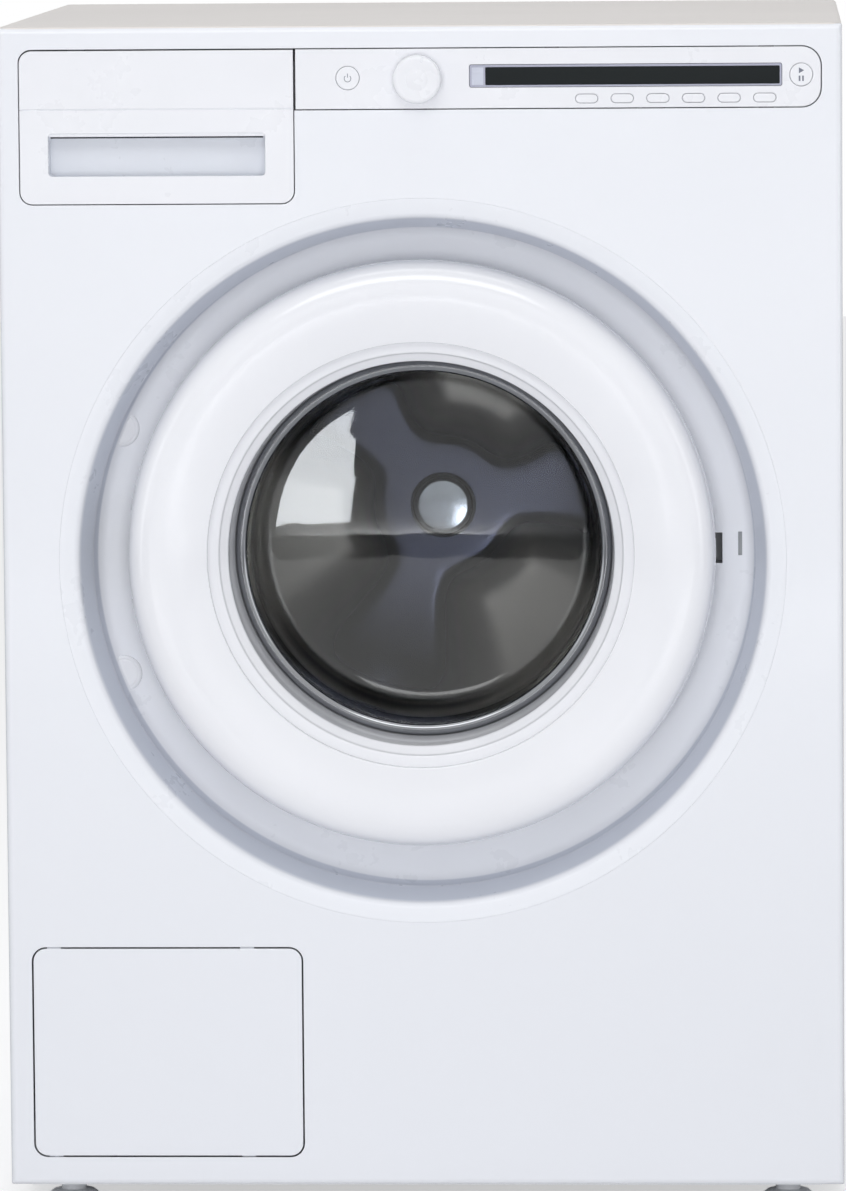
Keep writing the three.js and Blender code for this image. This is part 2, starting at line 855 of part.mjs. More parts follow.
// The pie shaped room behind the door's rim through which the fixed hinge ears pass as it opens.
const pivotX = doorX - doorRadius + hingeInset;
const earDrop = recessFloorDepth - clearance - hingePlateWall - hingeDepth;
const earAngle = Math.PI * hingeEarAngleShare;
const earRootX = pivotX + earDrop / Math.tan(earAngle);
const hingeRoomHalf = hingeHalfHeight + hingeEarWall + buttonTravelRoom;
const latchZ = doorZ;
const latchSlotX = latchX + (latchWidth + latchNose) / 2 - buttonTravelRoom;
const seatDepth = funnelEndDepth + trimHeight;
const glassNear = seatDepth + funnelWall + clearance;
const glassRimRadius = trimRadius - clearance;
const sealFaceDepth = glassNear + glassWall + clearance + doorWall;
const backEdgeRadius = doorBackEdgeRadius - doorWall / 2;
const backEdgeDepth = doorBackDepth + clearance + doorWall;
const armFootX = pivotX + hingeArmLength;
const backSlope = Math.atan2(backPlateDepth - backEdgeDepth, backEdgeRadius - backPlateInnerRadius);

// Depth of the door's rear face at a radius on its outer slope.
function backDepthAt(radius) {
  const share = (radius - backPlateInnerRadius) / (backEdgeRadius - backPlateInnerRadius);
  return backPlateDepth + share * (backEdgeDepth - backPlateDepth);
}

function hingeRoom() {
  const reach = 2 * earDrop;
  const half = hingeEarWidth / 2 + 2 * clearance;
  const low = doorZ - hingeRoomHalf;
  const sweep = Math.PI * hingeSweepShare;
  const fan = [[0, 0]];
  for (let i = 0; i <= hingeSweepSteps; i += 1) {
    const angle = earAngle + (i / hingeSweepSteps) * sweep;
    fan.push([reach * Math.cos(angle), reach * Math.sin(angle)]);
  }
  const strip = polygonShape([[-half, -half], [reach, -half], [reach, half], [-half, half]]);
  const slab = (shape, angle) => solidOf(extruded(shape, 2 * hingeRoomHalf))
    .rotate([0, 0, THREE.MathUtils.radToDeg(angle)])
    .translate([pivotX, hingeDepth, low]);
  const nose = upright(rod(hingeEarRadius + 2 * clearance, low, low + 2 * hingeRoomHalf), pivotX, hingeDepth,
    smallSegments);
  return join(nose, slab(polygonShape(fan), 0), slab(strip, earAngle), slab(strip, earAngle + sweep));
}

function makeDoor() {
  const room = hingeRoom();
  const ringLine = [
    [doorStepRadius, doorStepDepth + doorStepDrop],
    [doorStepRadius, doorStepDepth],
    [doorFaceRadius, doorFaceDepth],
    [doorShoulderRadius, doorShoulderDepth],
    [doorRadius, doorRimDepth],
    [doorBackEdgeRadius, doorBackDepth],
  ];
  const ring = turned(skin(ringLine, -doorWall), doorX, doorZ, doorSegments);
  piece('door_ring', cut(ring, room), whitePlastic);

  const funnelLine = [
    [doorStepRadius + doorWall / 2, doorStepDepth + doorStepDrop + clearance],
    [funnelBreakRadius, funnelBreakDepth],
    [trimRadius + clearance, funnelEndDepth - trimLead],
    [trimRadius + clearance, seatDepth],
    [trimRadius - trimWidth / 2, seatDepth],
  ];
  piece('door_funnel', turned(skin(funnelLine, funnelWall), doorX, doorZ, doorSegments), whitePlastic);

  const trimNear = funnelEndDepth - trimLead / 2;
  const trimFar = seatDepth - clearance;
  const trimProfile = [
    [trimRadius - trimWidth, trimNear + trimHeight / 2],
    [trimRadius - trimWidth * trimCrestShare, trimNear],
    [trimRadius - trimWidth / 2 * trimCrestShare, trimNear],
    [trimRadius, trimNear + trimHeight / 2],
    [trimRadius, trimFar],
    [trimRadius - trimWidth, trimFar],
  ];
  piece('door_trim_ring', turned(trimProfile, doorX, doorZ, doorSegments), steel);

  const glassLine = [
    [glassRimRadius, glassNear],
    [trimRadius - trimWidth, glassNear],
    [glassBowlRadius, glassBowlDepth],
    [glassBowlRadius - glassShoulder, glassDomeDepth - glassDomeRise],
    [0, glassDomeDepth],
  ];
  const wallLine = skin(glassLine, glassWall).map(([r, y]) => [r < glassWall / 2 ? 0 : r, y]);
  piece('door_glass', turned(wallLine, doorX, doorZ, doorSegments), clearGlass);

  const backLine = [
    [glassRimRadius - glassHold, sealFaceDepth],
    [sealFaceRadius, sealFaceDepth],
    [backPlateInnerRadius, backPlateDepth],
    [backEdgeRadius, backEdgeDepth],
  ];
  const backPlate = turned(skin(backLine, doorWall), doorX, doorZ, doorSegments);
  piece('door_back', cut(backPlate, room), whitePlastic);
}

// Hinge: a bracket on the recess floor with two ears, and an arm in the door that turns between them on its pin.
function makeHinge() {
  const half = hingeEarWidth / 2;
  const back = recessFloorDepth - clearance;
  const length = earDrop / Math.sin(earAngle);
  const arm = polygonShape([[0, -half], [length, -half], [length, half], [0, half]]);
  const ears = [-1, 1].map((side) => {
    const low = side > 0 ? doorZ + hingeHalfHeight : doorZ - hingeHalfHeight - hingeEarWall;
    const slab = solidOf(extruded(arm, hingeEarWall)).rotate([0, 0, THREE.MathUtils.radToDeg(earAngle)]);
    const eye = upright(rod(hingeEarRadius, low, low + hingeEarWall), pivotX, hingeDepth, smallSegments);
    const foot = block(earRootX - half, earRootX + half, back - 2 * hingePlateWall, back - hingePlateWall / 2,
      low, low + hingeEarWall);
    const bore = upright(rod(hingePinRadius + clearance, low - overrun, low + hingeEarWall + overrun),
      pivotX, hingeDepth, smallSegments);
    return cut(join(slab.translate([pivotX, hingeDepth, low]), eye, foot), bore);
  });
  const plateHalf = hingeHalfHeight + hingeEarWall + hingePlateOverhang;
  const plate = block(earRootX - hingePlateWidth / 2, earRootX + hingePlateWidth / 2,
    back - hingePlateWall, back, doorZ - plateHalf, doorZ + plateHalf);
  const inFront = block(-halfWidth, 0, 0, back, 0, cabinetHeight);
  piece('door_hinge_bracket', common(join(plate, ...ears), inFront), zinc);

  const reach = hingeHalfHeight - clearance;
  const pinReach = hingeHalfHeight + hingeEarWall;
  const outmost = Math.hypot(doorX - armFootX + hingeArmWall, reach);
  const innerFace = backDepthAt(outmost) - doorWall / Math.cos(backSlope) - clearance;
  const plan = polygonShape([
    [pivotX, hingeDepth - hingeArmWall / 2],
    [armFootX, hingeDepth - hingeArmWall / 2],
    [armFootX, innerFace],
    [armFootX - hingeArmWall, innerFace],
    [armFootX - hingeArmWall, hingeDepth + hingeArmWall / 2],
    [pivotX, hingeDepth + hingeArmWall / 2],
  ]);
  const lever = join(
    floorPlate(plan, doorZ - reach, doorZ + reach),
    upright(rod(hingeBarrelRadius, doorZ - reach, doorZ + reach), pivotX, hingeDepth, smallSegments),
    upright(rod(hingePinRadius, doorZ - pinReach, doorZ + pinReach), pivotX, hingeDepth, smallSegments),
  );
  piece('door_hinge_arm', lever, castAlloy);
}

// Latch: a hook on the door's back and the lock box behind the recess floor that it enters.
function makeLatch() {
  const right = latchX + latchWidth / 2;
  const left = latchX - latchWidth / 2;
  const foot = latchX - latchBase;
  const faceAt = (x) => backDepthAt(x - doorX) + clearance;
  const tip = faceAt(left) + latchReach;
  const plan = polygonShape([
    [foot, faceAt(foot)],
    [right, faceAt(right)],
    [right, tip - latchNoseLength],
    [right + latchNose, tip - latchNoseLength],
    [right, tip],
    [left, tip],
    [left, faceAt(left) + latchPlate],
    [foot, faceAt(foot) + latchPlate],
  ]);
  piece('latch_hook', floorPlate(plan, latchZ - latchHeight / 2, latchZ + latchHeight / 2), steel);

  const near = recessBack + clearance;
  const box = block(latchSlotX - lockWidth / 2, latchSlotX + lockWidth / 2, near, near + lockDepth,
    latchZ - lockHeight / 2, latchZ + lockHeight / 2);
  const mouth = block(latchSlotX - latchSlotWidth / 2, latchSlotX + latchSlotWidth / 2, near - overrun,
    near + lockDepth - doorWall, latchZ - latchSlotHeight / 2, latchZ + latchSlotHeight / 2);
  const chamfer = polygonShape([
    [latchSlotX + lockWidth / 2, near + lockDepth / 2],
    [latchSlotX + lockWidth / 2 + overrun, near + lockDepth / 2],
    [latchSlotX + lockWidth / 2 + overrun, near + lockDepth + overrun],
    [latchSlotX + lockWidth / 4, near + lockDepth + overrun],
  ]);
  const corner = floorPlate(chamfer, latchZ - lockHeight, latchZ + lockHeight);
  piece('door_lock', cut(box, mouth, corner), greyPlastic);
}

// Drawer: a flush front with a finger recess, the tray behind it, and the housing it slides in.
const drawerTrayLeft = drawerLeft + traySideGap;
const drawerTrayRight = drawerRight - traySideGap;
const drawerTrayBottom = drawerBottom + trayBottomRise;
const drawerTrayTop = drawerTop - trayTopDrop;
const drawerTrayNear = gripDepth + gripWall + clearance;

function makeDrawer() {
  const outline = roundedRect(drawerLeft, drawerBottom, drawerRight, drawerTop,
    [drawerRadius, drawerRadius, 0, drawerRadius]);
  const grip = (grow) => roundedRect(gripLeft - grow, gripBottom - grow, gripRight + grow, gripTop + grow,
    gripRadius + grow);
  const rim = cut(
    frontPlate(outline, drawerFrontWall / 2, drawerRimDepth),
    frontPlate(roundedRect(drawerLeft + drawerRimWall, drawerBottom + drawerRimWall,
      drawerRight - drawerRimWall, drawerTop - drawerRimWall, drawerRadius - drawerRimWall), 0,
    drawerRimDepth + overrun),
  );
  const front = cut(
    join(frontPlate(outline, 0, drawerFrontWall), rim,
      frontPlate(grip(gripWall), drawerFrontWall / 2, gripDepth + gripWall)),
    frontPlate(grip(0), -overrun, gripDepth),
    fingerLedge(),
  );
  piece('drawer_front', front, whitePlastic);

  const far = drawerTrayNear + trayLength;
  const boxSolid = block(drawerTrayLeft, drawerTrayRight, drawerTrayNear, far, drawerTrayBottom,
    drawerTrayTop);
  const width = drawerTrayRight - drawerTrayLeft;
  const edges = [drawerTrayLeft + drawerTrayWall / 2,
    ...trayDividerShares.map((share) => drawerTrayLeft + share * width),
    drawerTrayRight - drawerTrayWall / 2];
  const pockets = edges.slice(1).map((edge, i) => {
    const low = drawerTrayBottom + drawerTrayWall;
    const shape = roundedRect(edges[i] + drawerTrayWall / 2, drawerTrayNear + drawerTrayWall,
      edge - drawerTrayWall / 2, far - drawerTrayWall, trayCornerRadius);
    return floorPlate(shape, low, drawerTrayTop + overrun);
  });
  const dip = block(drawerTrayLeft + drawerTrayWall, drawerTrayRight - drawerTrayWall,
    drawerTrayNear + drawerTrayWall, far - drawerTrayWall,
    drawerTrayBottom + trayDividerHeightShare * (drawerTrayTop - drawerTrayBottom), drawerTrayTop + overrun);
  const runner = (low, high) => block(low, high, drawerTrayNear, far,
    drawerTrayTop - 2 * drawerTrayWall, drawerTrayTop);
  const tray = join(
    cut(boxSolid, ...pockets, dip),
    runner(drawerTrayLeft - runnerWidth, drawerTrayLeft + drawerTrayWall / 2),
    runner(drawerTrayRight - drawerTrayWall / 2, drawerTrayRight + runnerWidth),
  );
  piece('drawer_tray', tray, greyPlastic);
}

// The undercut above the finger recess that a hand pulls on.
function fingerLedge() {
  return frontPlate(roundedRect(gripLeft, gripTop - gripRadius, gripRight, gripTop + gripRadius, 0),
    drawerFrontWall, gripDepth);
}

function makeHousing() {
  const side = runnerWidth + housingGap;
  const left = drawerTrayLeft - side;
  const right = drawerTrayRight + side;
  const low = drawerTrayBottom - housingGap;
  const high = drawerTrayTop + housingGap;
  const near = drawerTrayNear;
  const far = drawerTrayNear + trayLength + housingGap;
  const shell = cut(
    block(left - housingWall, right + housingWall, near, far + housingWall, low - housingWall,
      high + housingWall),
    block(left, right, near - overrun, far, low, high),
  );
  const ledges = [[left - housingWall / 2, drawerTrayLeft - clearance],
    [drawerTrayRight + clearance, right + housingWall / 2]];
  const railTop = drawerTrayTop - 2 * drawerTrayWall - clearance;
  const rails = ledges.map(([x0, x1]) => block(x0, x1, near, far, railTop - housingWall, railTop));
  const outletX = (left + right) / 2;
  const spout = upright(rod(spoutRadius, low - housingWall - spoutLength, low - housingWall / 2), outletX,
    far - 2 * spoutRadius, smallSegments);
  const bore = upright(rod(spoutRadius - housingWall, low - 2 * housingWall - spoutLength, low + overrun),
    outletX, far - 2 * spoutRadius, smallSegments);
  const lipTop = drawerBottom - frameGap - clearance;
  const apron = join(
    block(left - housingWall, right + housingWall, near, near + housingWall, lipTop - lipHeight, low),
    block(left - housingWall, right + housingWall, sheetWall + clearance, near + housingWall,
      lipTop - lipHeight, lipTop),
  );
  piece('dispenser_housing', cut(join(shell, apron, ...rails, spout), bore), greyPlastic);
}

// Control fascia with its holes, the display behind its window, and the control board's case.

function makeFascia() {
  const outline = roundedRect(fasciaLeft, fasciaBottom, fasciaRight, fasciaTop,
    [0, fasciaEndRadius, fasciaEndRadius, 0]);
  const holes = [
    roundedRect(windowLeft, windowBottom, windowRight, windowTop, windowRadius),
    circleShape(powerX, powerZ, powerRadius + buttonGap),
    circleShape(startX, startZ, startRadius + buttonGap),
    circleShape(knobX, knobZ, knobShaftRadius + clearance),
  ];
  const pills = [];
  for (let i = 0; i < optionCount; i += 1) {
    pills.push(frontPlate(pillShape(optionFirstX + i * optionPitch, optionZ, buttonGap), -overrun,
      fasciaWall + overrun, pillSteps));
  }
  const plate = cut(frontPlate(outline, 0, fasciaWall), ...pills, ...holes.map((shape) => frontPlate(shape,
    -overrun, fasciaWall + overrun, holeSteps)));
  piece('control_fascia', plate, whitePlastic);

  const lens = roundedRect(windowLeft + clearance, windowBottom + clearance, windowRight - clearance,
    windowTop - clearance, windowRadius - clearance);
  const backing = roundedRect(windowLeft - lensLip, windowBottom - lensLip, windowRight + lensLip,
    windowTop + lensLip, 0);
  piece('display_lens', join(frontPlate(lens, lensRecess, fasciaWall + lensWall),
    frontPlate(backing, fasciaWall + clearance, fasciaWall + lensWall)), darkGlass);

  const right = startX + startRadius + buttonFlange + clearance;
  const near = fasciaWall + lensWall + clearance;
  const seat = fasciaWall + clearance + buttonFlangeWall + buttonTravel + buttonTravelRoom;
  const board = join(
    block(windowLeft - moduleMargin, windowRight + lensLip, near, seat + overrun, windowBottom, windowTop),
    block(powerX - moduleMargin, right, seat, seat + moduleDepth, fasciaBottom + moduleInset,
      fasciaTop - moduleInset),
  );
  const shaftRoom = frontPlate(circleShape(knobX, knobZ, knobShaftRadius + clearance), seat - overrun,
    knobShaftEnd + clearance, holeSteps);
  piece('display_module', cut(board, shaftRoom), blackPlastic);
}

function pillShape(x, z, grow) {
  const half = optionWidth / 2 + grow;
  const rise = optionHeight / 2 + grow;
  return roundedRect(x - half, z - rise, x + half, z + rise, rise);
}

// Push buttons: a cap in the fascia's hole with a flange behind it.
function makeButtons() {
  const near = -buttonProud;
  const flangeNear = fasciaWall + clearance;
  const stack = (cap, flange, steps) => join(
    frontPlate(cap, near, flangeNear + buttonFlangeWall / 2, steps),
    frontPlate(flange, flangeNear, flangeNear + buttonFlangeWall, steps),
  );
  const round = (name, x, z, radius) => {
    const flange = circleShape(x, z, radius + buttonFlange);
    piece(name, stack(circleShape(x, z, radius), flange, holeSteps), whitePlastic);
  };
  round('power_button', powerX, powerZ, powerRadius);
  round('start_button', startX, startZ, startRadius);
  for (let i = 0; i < optionCount; i += 1) {
    const x = optionFirstX + i * optionPitch;
    const flange = pillShape(x, optionZ, buttonFlange);
    piece(`option_button_${i + 1}`, stack(pillShape(x, optionZ, 0), flange, pillSteps), whitePlastic);
  }
}

// Program knob: a dished face round a small cap, on a shaft into the control board.
const knobShaftEnd = fasciaWall + clearance + buttonFlangeWall + buttonTravel + buttonTravelRoom
  + moduleDepth / 2;

function makeKnob() {
  const profile = [
    [0, -knobProud + knobCapRecess / 2],
    [knobCapRadius, -knobProud + knobCapRecess / 2],
    [knobCapRadius, -knobProud + knobCapRecess],
    [knobCapRadius + knobGroove, -knobProud + knobCapRecess],
    [knobFaceRadius, -knobProud],
    [knobRadius - knobRound / 2, -knobProud + knobRound / 2],
    [knobRadius, -knobProud + 2 * knobRound],
    [knobRadius, -knobSeatGap],
    [knobShaftRadius, -knobSeatGap],
    [knobShaftRadius, knobShaftEnd],
    [0, knobShaftEnd],
  ];
  const notch = block(knobX - knobNotchWidth / 2, knobX + knobNotchWidth / 2, -knobProud - overrun,
    -knobProud + knobRound, knobZ + knobFaceRadius - knobNotchLength / 2, knobZ + knobRadius + overrun);
  const knob = turned(profile, knobX, knobZ, roundSegments);
  piece('program_knob', cut(knob, spun(notch, knobX, knobZ, -2 * Math.PI * knobNotchShare)), whitePlastic);
}

// Hatch over the pump: a panel with a return rim, two hinge pins and two clip noses.
function makeHatch() {
  const outline = roundedRect(hatchLeft, hatchBottom, hatchRight, hatchTop, hatchRadius);
  const inner = roundedRect(hatchLeft + hatchRimWall, hatchBottom + hatchRimWall, hatchRight - hatchRimWall,
    hatchTop - hatchRimWall, hatchRadius - hatchRimWall);
  const shell = cut(frontPlate(outline, 0, hatchRimDepth),
    frontPlate(inner, hatchWall, hatchRimDepth + overrun));
  const half = hatchPinRadius + hatchRimWall / 2;
  const pins = [[hatchTop, 1], [hatchBottom, -1]].map(([edge, up]) => {
    const ends = [edge - up * hatchPinLength, edge + up * (hatchGap + hatchLugHeight)].sort((a, b) => a - b);
    const root = [edge - up * hatchPinLength, edge].sort((a, b) => a - b);
    return join(
      upright(rod(hatchPinRadius, ends[0], ends[1]), hatchPinX, hatchPinY, smallSegments),
      block(hatchPinX - half, hatchPinX + half, hatchWall / 2, hatchPinY + half, root[0], root[1]),
    );
  });
  const tabs = [];
  for (const [edge, up] of [[hatchTop, 1], [hatchBottom, -1]]) {
    for (const x of [hatchPinX, hatchClipX]) {
      const span = [edge - up * hatchRimWall, edge + up * (hatchGap - clearance)].sort((a, b) => a - b);
      tabs.push(block(x - hatchTabWidth / 2, x + hatchTabWidth / 2, sheetWall + clearance,
        sheetWall + clearance + hatchRimWall, span[0], span[1]));
    }
  }
  piece('pump_hatch', join(shell, ...pins, ...tabs), whitePaint);
}

// Drain pump behind the hatch: a housing with a round filter chamber, a motor, ports and a foot.
const pumpInletX = pumpX + portOffset;
const pumpInletY = pumpFrontDepth + (pumpLength * pumpStepShares[0]) / 2;

function makePump() {
  const far = pumpFrontDepth + pumpLength;
  const chamberRadius = plugStemRadius + chamberGap;
  const bodySolid = turned([
    [0, pumpFrontDepth],
    [pumpRadius, pumpFrontDepth],
    [pumpRadius, pumpFrontDepth + pumpLength * pumpStepShares[0]],
    [pumpRadius * pumpNeckShare, pumpFrontDepth + pumpLength * pumpStepShares[1]],
    [pumpRadius * pumpNeckShare, far],
    [0, far],
  ], pumpX, pumpZ, roundSegments);
  const footSolid = block(pumpX - pumpRadius, pumpX + pumpRadius, pumpFrontDepth + overrun,
    pumpFrontDepth + pumpLength * pumpStepShares[0], trayFloor + clearance, pumpZ);
  const inlet = upright(rod(portRadius, pumpZ, pumpZ + pumpRadius + portLength), pumpInletX, pumpInletY,
    smallSegments);
  const inletBore = upright(rod(portRadius - portWall, pumpZ, pumpZ + pumpRadius + portLength + overrun),
    pumpInletX, pumpInletY, smallSegments);
  const chamber = turned(rod(chamberRadius, pumpFrontDepth - overrun,
    pumpFrontDepth + plugStemLength + chamberGap), pumpX, pumpZ, roundSegments);
  piece('drain_pump', cut(join(bodySolid, footSolid, inlet), inletBore, chamber), greyPlastic);

  const near = pumpFrontDepth - clearance - plugWall;
  const plug = turned([
    [0, near],
    [plugRadius - plugWall / 2, near],
    [plugRadius, near + plugWall / 2],
    [plugRadius, near + plugWall],
    [plugStemRadius, near + plugWall],
    [plugStemRadius, near + plugWall + plugStemLength],
    [0, near + plugWall + plugStemLength],
  ], pumpX, pumpZ, roundSegments);
  const grip = block(pumpX - plugRadius + plugWall, pumpX + plugRadius - plugWall, near - plugGripHeight,
    near + plugWall / 2, pumpZ - plugGripWidth / 2, pumpZ + plugGripWidth / 2);
  const windows = [0, 1, 2].map((k) => spun(block(pumpX - plugStemRadius * 2, pumpX + plugStemRadius * 2,
    near + plugWall + plugGripHeight / 2, near + plugWall + plugStemLength - plugGripHeight / 2,
    pumpZ - plugGripWidth / 2, pumpZ + plugGripWidth / 2), pumpX, pumpZ, (k * Math.PI) / 3));
  piece('filter_plug', cut(join(plug, grip), ...windows), blackPlastic);
}

// Outer tub in two halves, with flanges at the seam, a ribbed rear wall and a bearing hub.
const tubHubFar = tubRearDepth + tubHubLength;

function makeTub() {
  const frontLine = [
    [tubMouthRadius, tubFrontDepth],
    [tubRadius - tubCornerRadius, tubFrontDepth],
    [tubRadius, tubFrontDepth + tubCornerRadius],
    [tubRadius, tubSeamDepth - clearance / 2],
  ];
  const flangeFront = turned(tube(tubRadius - tubWall / 2, tubRadius + tubFlangeWidth,
    tubSeamDepth - clearance / 2 - tubFlangeWall, tubSeamDepth - clearance / 2), doorX, doorZ, tubSegments);
  const spigotX = doorX + sumpX;
  const spigot = onTub(upright(rod(sumpHoseRadius, sumpZ, doorZ), spigotX, sumpDepth, smallSegments));
  const drain = upright(rod(sumpHoseRadius - spigotWall, sumpZ - overrun, doorZ - tubRadius / 2),
    spigotX, sumpDepth, smallSegments);
  const front = join(turned(skin(frontLine, -tubWall), doorX, doorZ, tubSegments), flangeFront, spigot);
  piece('tub_front', cut(front, drain), greyPlastic);

  const rearLine = [
    [tubRadius, tubSeamDepth + clearance / 2],
    [tubRadius, tubRearDepth - tubCornerRadius],
    [tubRadius - tubCornerRadius, tubRearDepth],
    [tubHubRadius - tubWall, tubRearDepth],
  ];
  const flangeRear = turned(tube(tubRadius - tubWall / 2, tubRadius + tubFlangeWidth,
    tubSeamDepth + clearance / 2, tubSeamDepth + clearance / 2 + tubFlangeWall), doorX, doorZ, tubSegments);
  const hubBore = bearingFrontRadius + clearance;
  const hub = turned([
    [bearingRearRadius + clearance, tubRearDepth - tubWall],
    [tubHubRadius, tubRearDepth - tubWall],
    [tubHubRadius, tubHubFar],
    [bearingRearRadius + clearance, tubHubFar],
  ], doorX, doorZ, tubSegments);
  const frontSeat = turned(rod(hubBore, tubRearDepth - tubWall - overrun,
    bearingFrontNear + bearingWidth + clearance), doorX, doorZ, tubSegments);
  const ribs = [];
  for (let i = 0; i < tubRibCount; i += 1) {
    const plan = polygonShape([
      [doorX + tubHubRadius - tubWall, tubRearDepth - tubWall / 2],
      [doorX + tubRadius - tubCornerRadius, tubRearDepth - tubWall / 2],
      [doorX + tubRadius - tubCornerRadius, tubRearDepth + tubRibHeight / 2],
      [doorX + tubHubRadius - tubWall, tubRearDepth + tubRibHeight],
    ]);
    const rib = floorPlate(plan, doorZ - tubRibWall / 2, doorZ + tubRibWall / 2);
    ribs.push(spun(rib, doorX, doorZ, ((i + 0.5) / tubRibCount) * 2 * Math.PI));
  }
  const rear = join(turned(skin(rearLine, -tubWall), doorX, doorZ, tubSegments), flangeRear, hub, ...ribs,
    damperLug(-1), damperLug(1), ...motorHangers());
  const heaterHoles = [-1, 1].map((side) => turned(rod(heaterTubeRadius + 2 * clearance,
    tubRearDepth - tubCornerRadius - overrun, tubRearDepth + overrun), heaterX(side), heaterZ,
    smallSegments));
  piece('tub_rear', cut(rear, frontSeat, ...heaterHoles), greyPlastic);
}

// What fastens to the outside of the tub is cut back to the middle of its wall.
function onTub(solid) {
  return cut(solid, turned(rod(tubRadius - tubWall / 2, 0, cabinetDepth), doorX, doorZ, tubSegments));
}

const sumpZ = doorZ - Math.sqrt(tubRadius ** 2 - sumpX ** 2) - spigotDrop;
const damperTop = doorZ - Math.sqrt(tubRadius ** 2 - damperX ** 2) - damperLugDrop;

function damperLug(side) {
  const x = doorX + side * damperX;
  return onTub(block(x - rodEyeRadius, x + rodEyeRadius, damperDepth - rodEyeRadius,
    damperDepth + rodEyeRadius, damperTop, doorZ));
}

const motorFar = pulleyDepth - pulleyWidth / 2 - motorGap;
const motorNear = motorFar - motorLength;
const motorTop = motorZ + motorRadius + motorBossRise;

function motorHangers() {
  const half = motorMountWidth / 2;
  return motorHangerShares.map((share) => {
    const y = motorNear + share * motorLength;
    return onTub(block(motorX - half, motorX + half, y - motorHangerWall / 2, y + motorHangerWall / 2,
      motorTop + clearance, doorZ));
  });
}

const heaterRing = (drumRadius + tubRadius - tubWall) / 2;
const heaterX = (side) => doorX + side * heaterHalfWidth;
const heaterZ = doorZ - Math.sqrt(heaterRing ** 2 - heaterHalfWidth ** 2);
const bearingFrontNear = tubRearDepth + bearingInset;
const bearingRearNear = bearingFrontNear + bearingWidth + bearingSpacer;

function makeTubFittings() {
  const bearing = (near, radius) => turned(tube(runningBore(shaftRadius, roundSegments), radius, near,
    near + bearingWidth), doorX, doorZ, roundSegments);
  piece('bearing_front', bearing(bearingFrontNear, bearingFrontRadius), steel);
  piece('bearing_rear', bearing(bearingRearNear, bearingRearRadius), steel);

  const sealNear = sealFaceDepth + clearance;
  const sealFoot = tubFrontDepth - clearance - sealWall;
  const sealLine = [
    [sealBaseRadius, sealFoot],
    [sealNeckRadius, sealFoot],
    [sealFaceOuter, sealNear],
    [sealInnerRadius, sealNear],
  ];
  piece('door_seal', turned(skin(sealLine, sealWall), doorX, doorZ, doorSegments), rubber);

  const far = tubRearDepth + heaterFlangeWall + heaterTail;
  const bend = new THREE.CurvePath();
  const near = tubRearDepth - heaterReach;
  const start = new THREE.Vector3(heaterX(-1), far, heaterZ);
  const leftTurn = new THREE.Vector3(heaterX(-1), near, heaterZ);
  const rightTurn = new THREE.Vector3(heaterX(1), near, heaterZ);
  const end = new THREE.Vector3(heaterX(1), far, heaterZ);
  const tip = near - heaterHalfWidth * heaterTipShare;
  bend.add(new THREE.LineCurve3(start, leftTurn));
  bend.add(new THREE.CubicBezierCurve3(leftTurn, new THREE.Vector3(heaterX(-1), tip, heaterZ),
    new THREE.Vector3(heaterX(1), tip, heaterZ), rightTurn));
  bend.add(new THREE.LineCurve3(rightTurn, end));
  const element = solidOf(new THREE.ExtrudeGeometry(circleShape(0, 0, heaterTubeRadius), {
    steps: heaterSteps, curveSegments: heaterSides / 2, extrudePath: bend, bevelEnabled: false }));
  const half = heaterHalfWidth + heaterTubeRadius + heaterMargin;
  const rise = heaterTubeRadius + heaterMargin;
  const flange = frontPlate(roundedRect(doorX - half, heaterZ - rise, doorX + half, heaterZ + rise, rise / 2),
    tubRearDepth + clearance, tubRearDepth + clearance + heaterFlangeWall);
  piece('heater', join(element, flange), copper);

  const crown = doorZ + tubRadius;
  const top = lidBottom - weightTopDrop;
  const left = doorX + weightOffsetX - weightWidth / 2;
  const blank = frontPlate(roundedRect(left, crown - weightSkirt, left + weightWidth, top, weightRadius),
    weightFrontDepth, weightFrontDepth + weightDepth);
  piece('counterweight', cut(blank, turned(rod(tubRadius + clearance, 0, cabinetDepth), doorX, doorZ,
    tubSegments)), concrete);
}

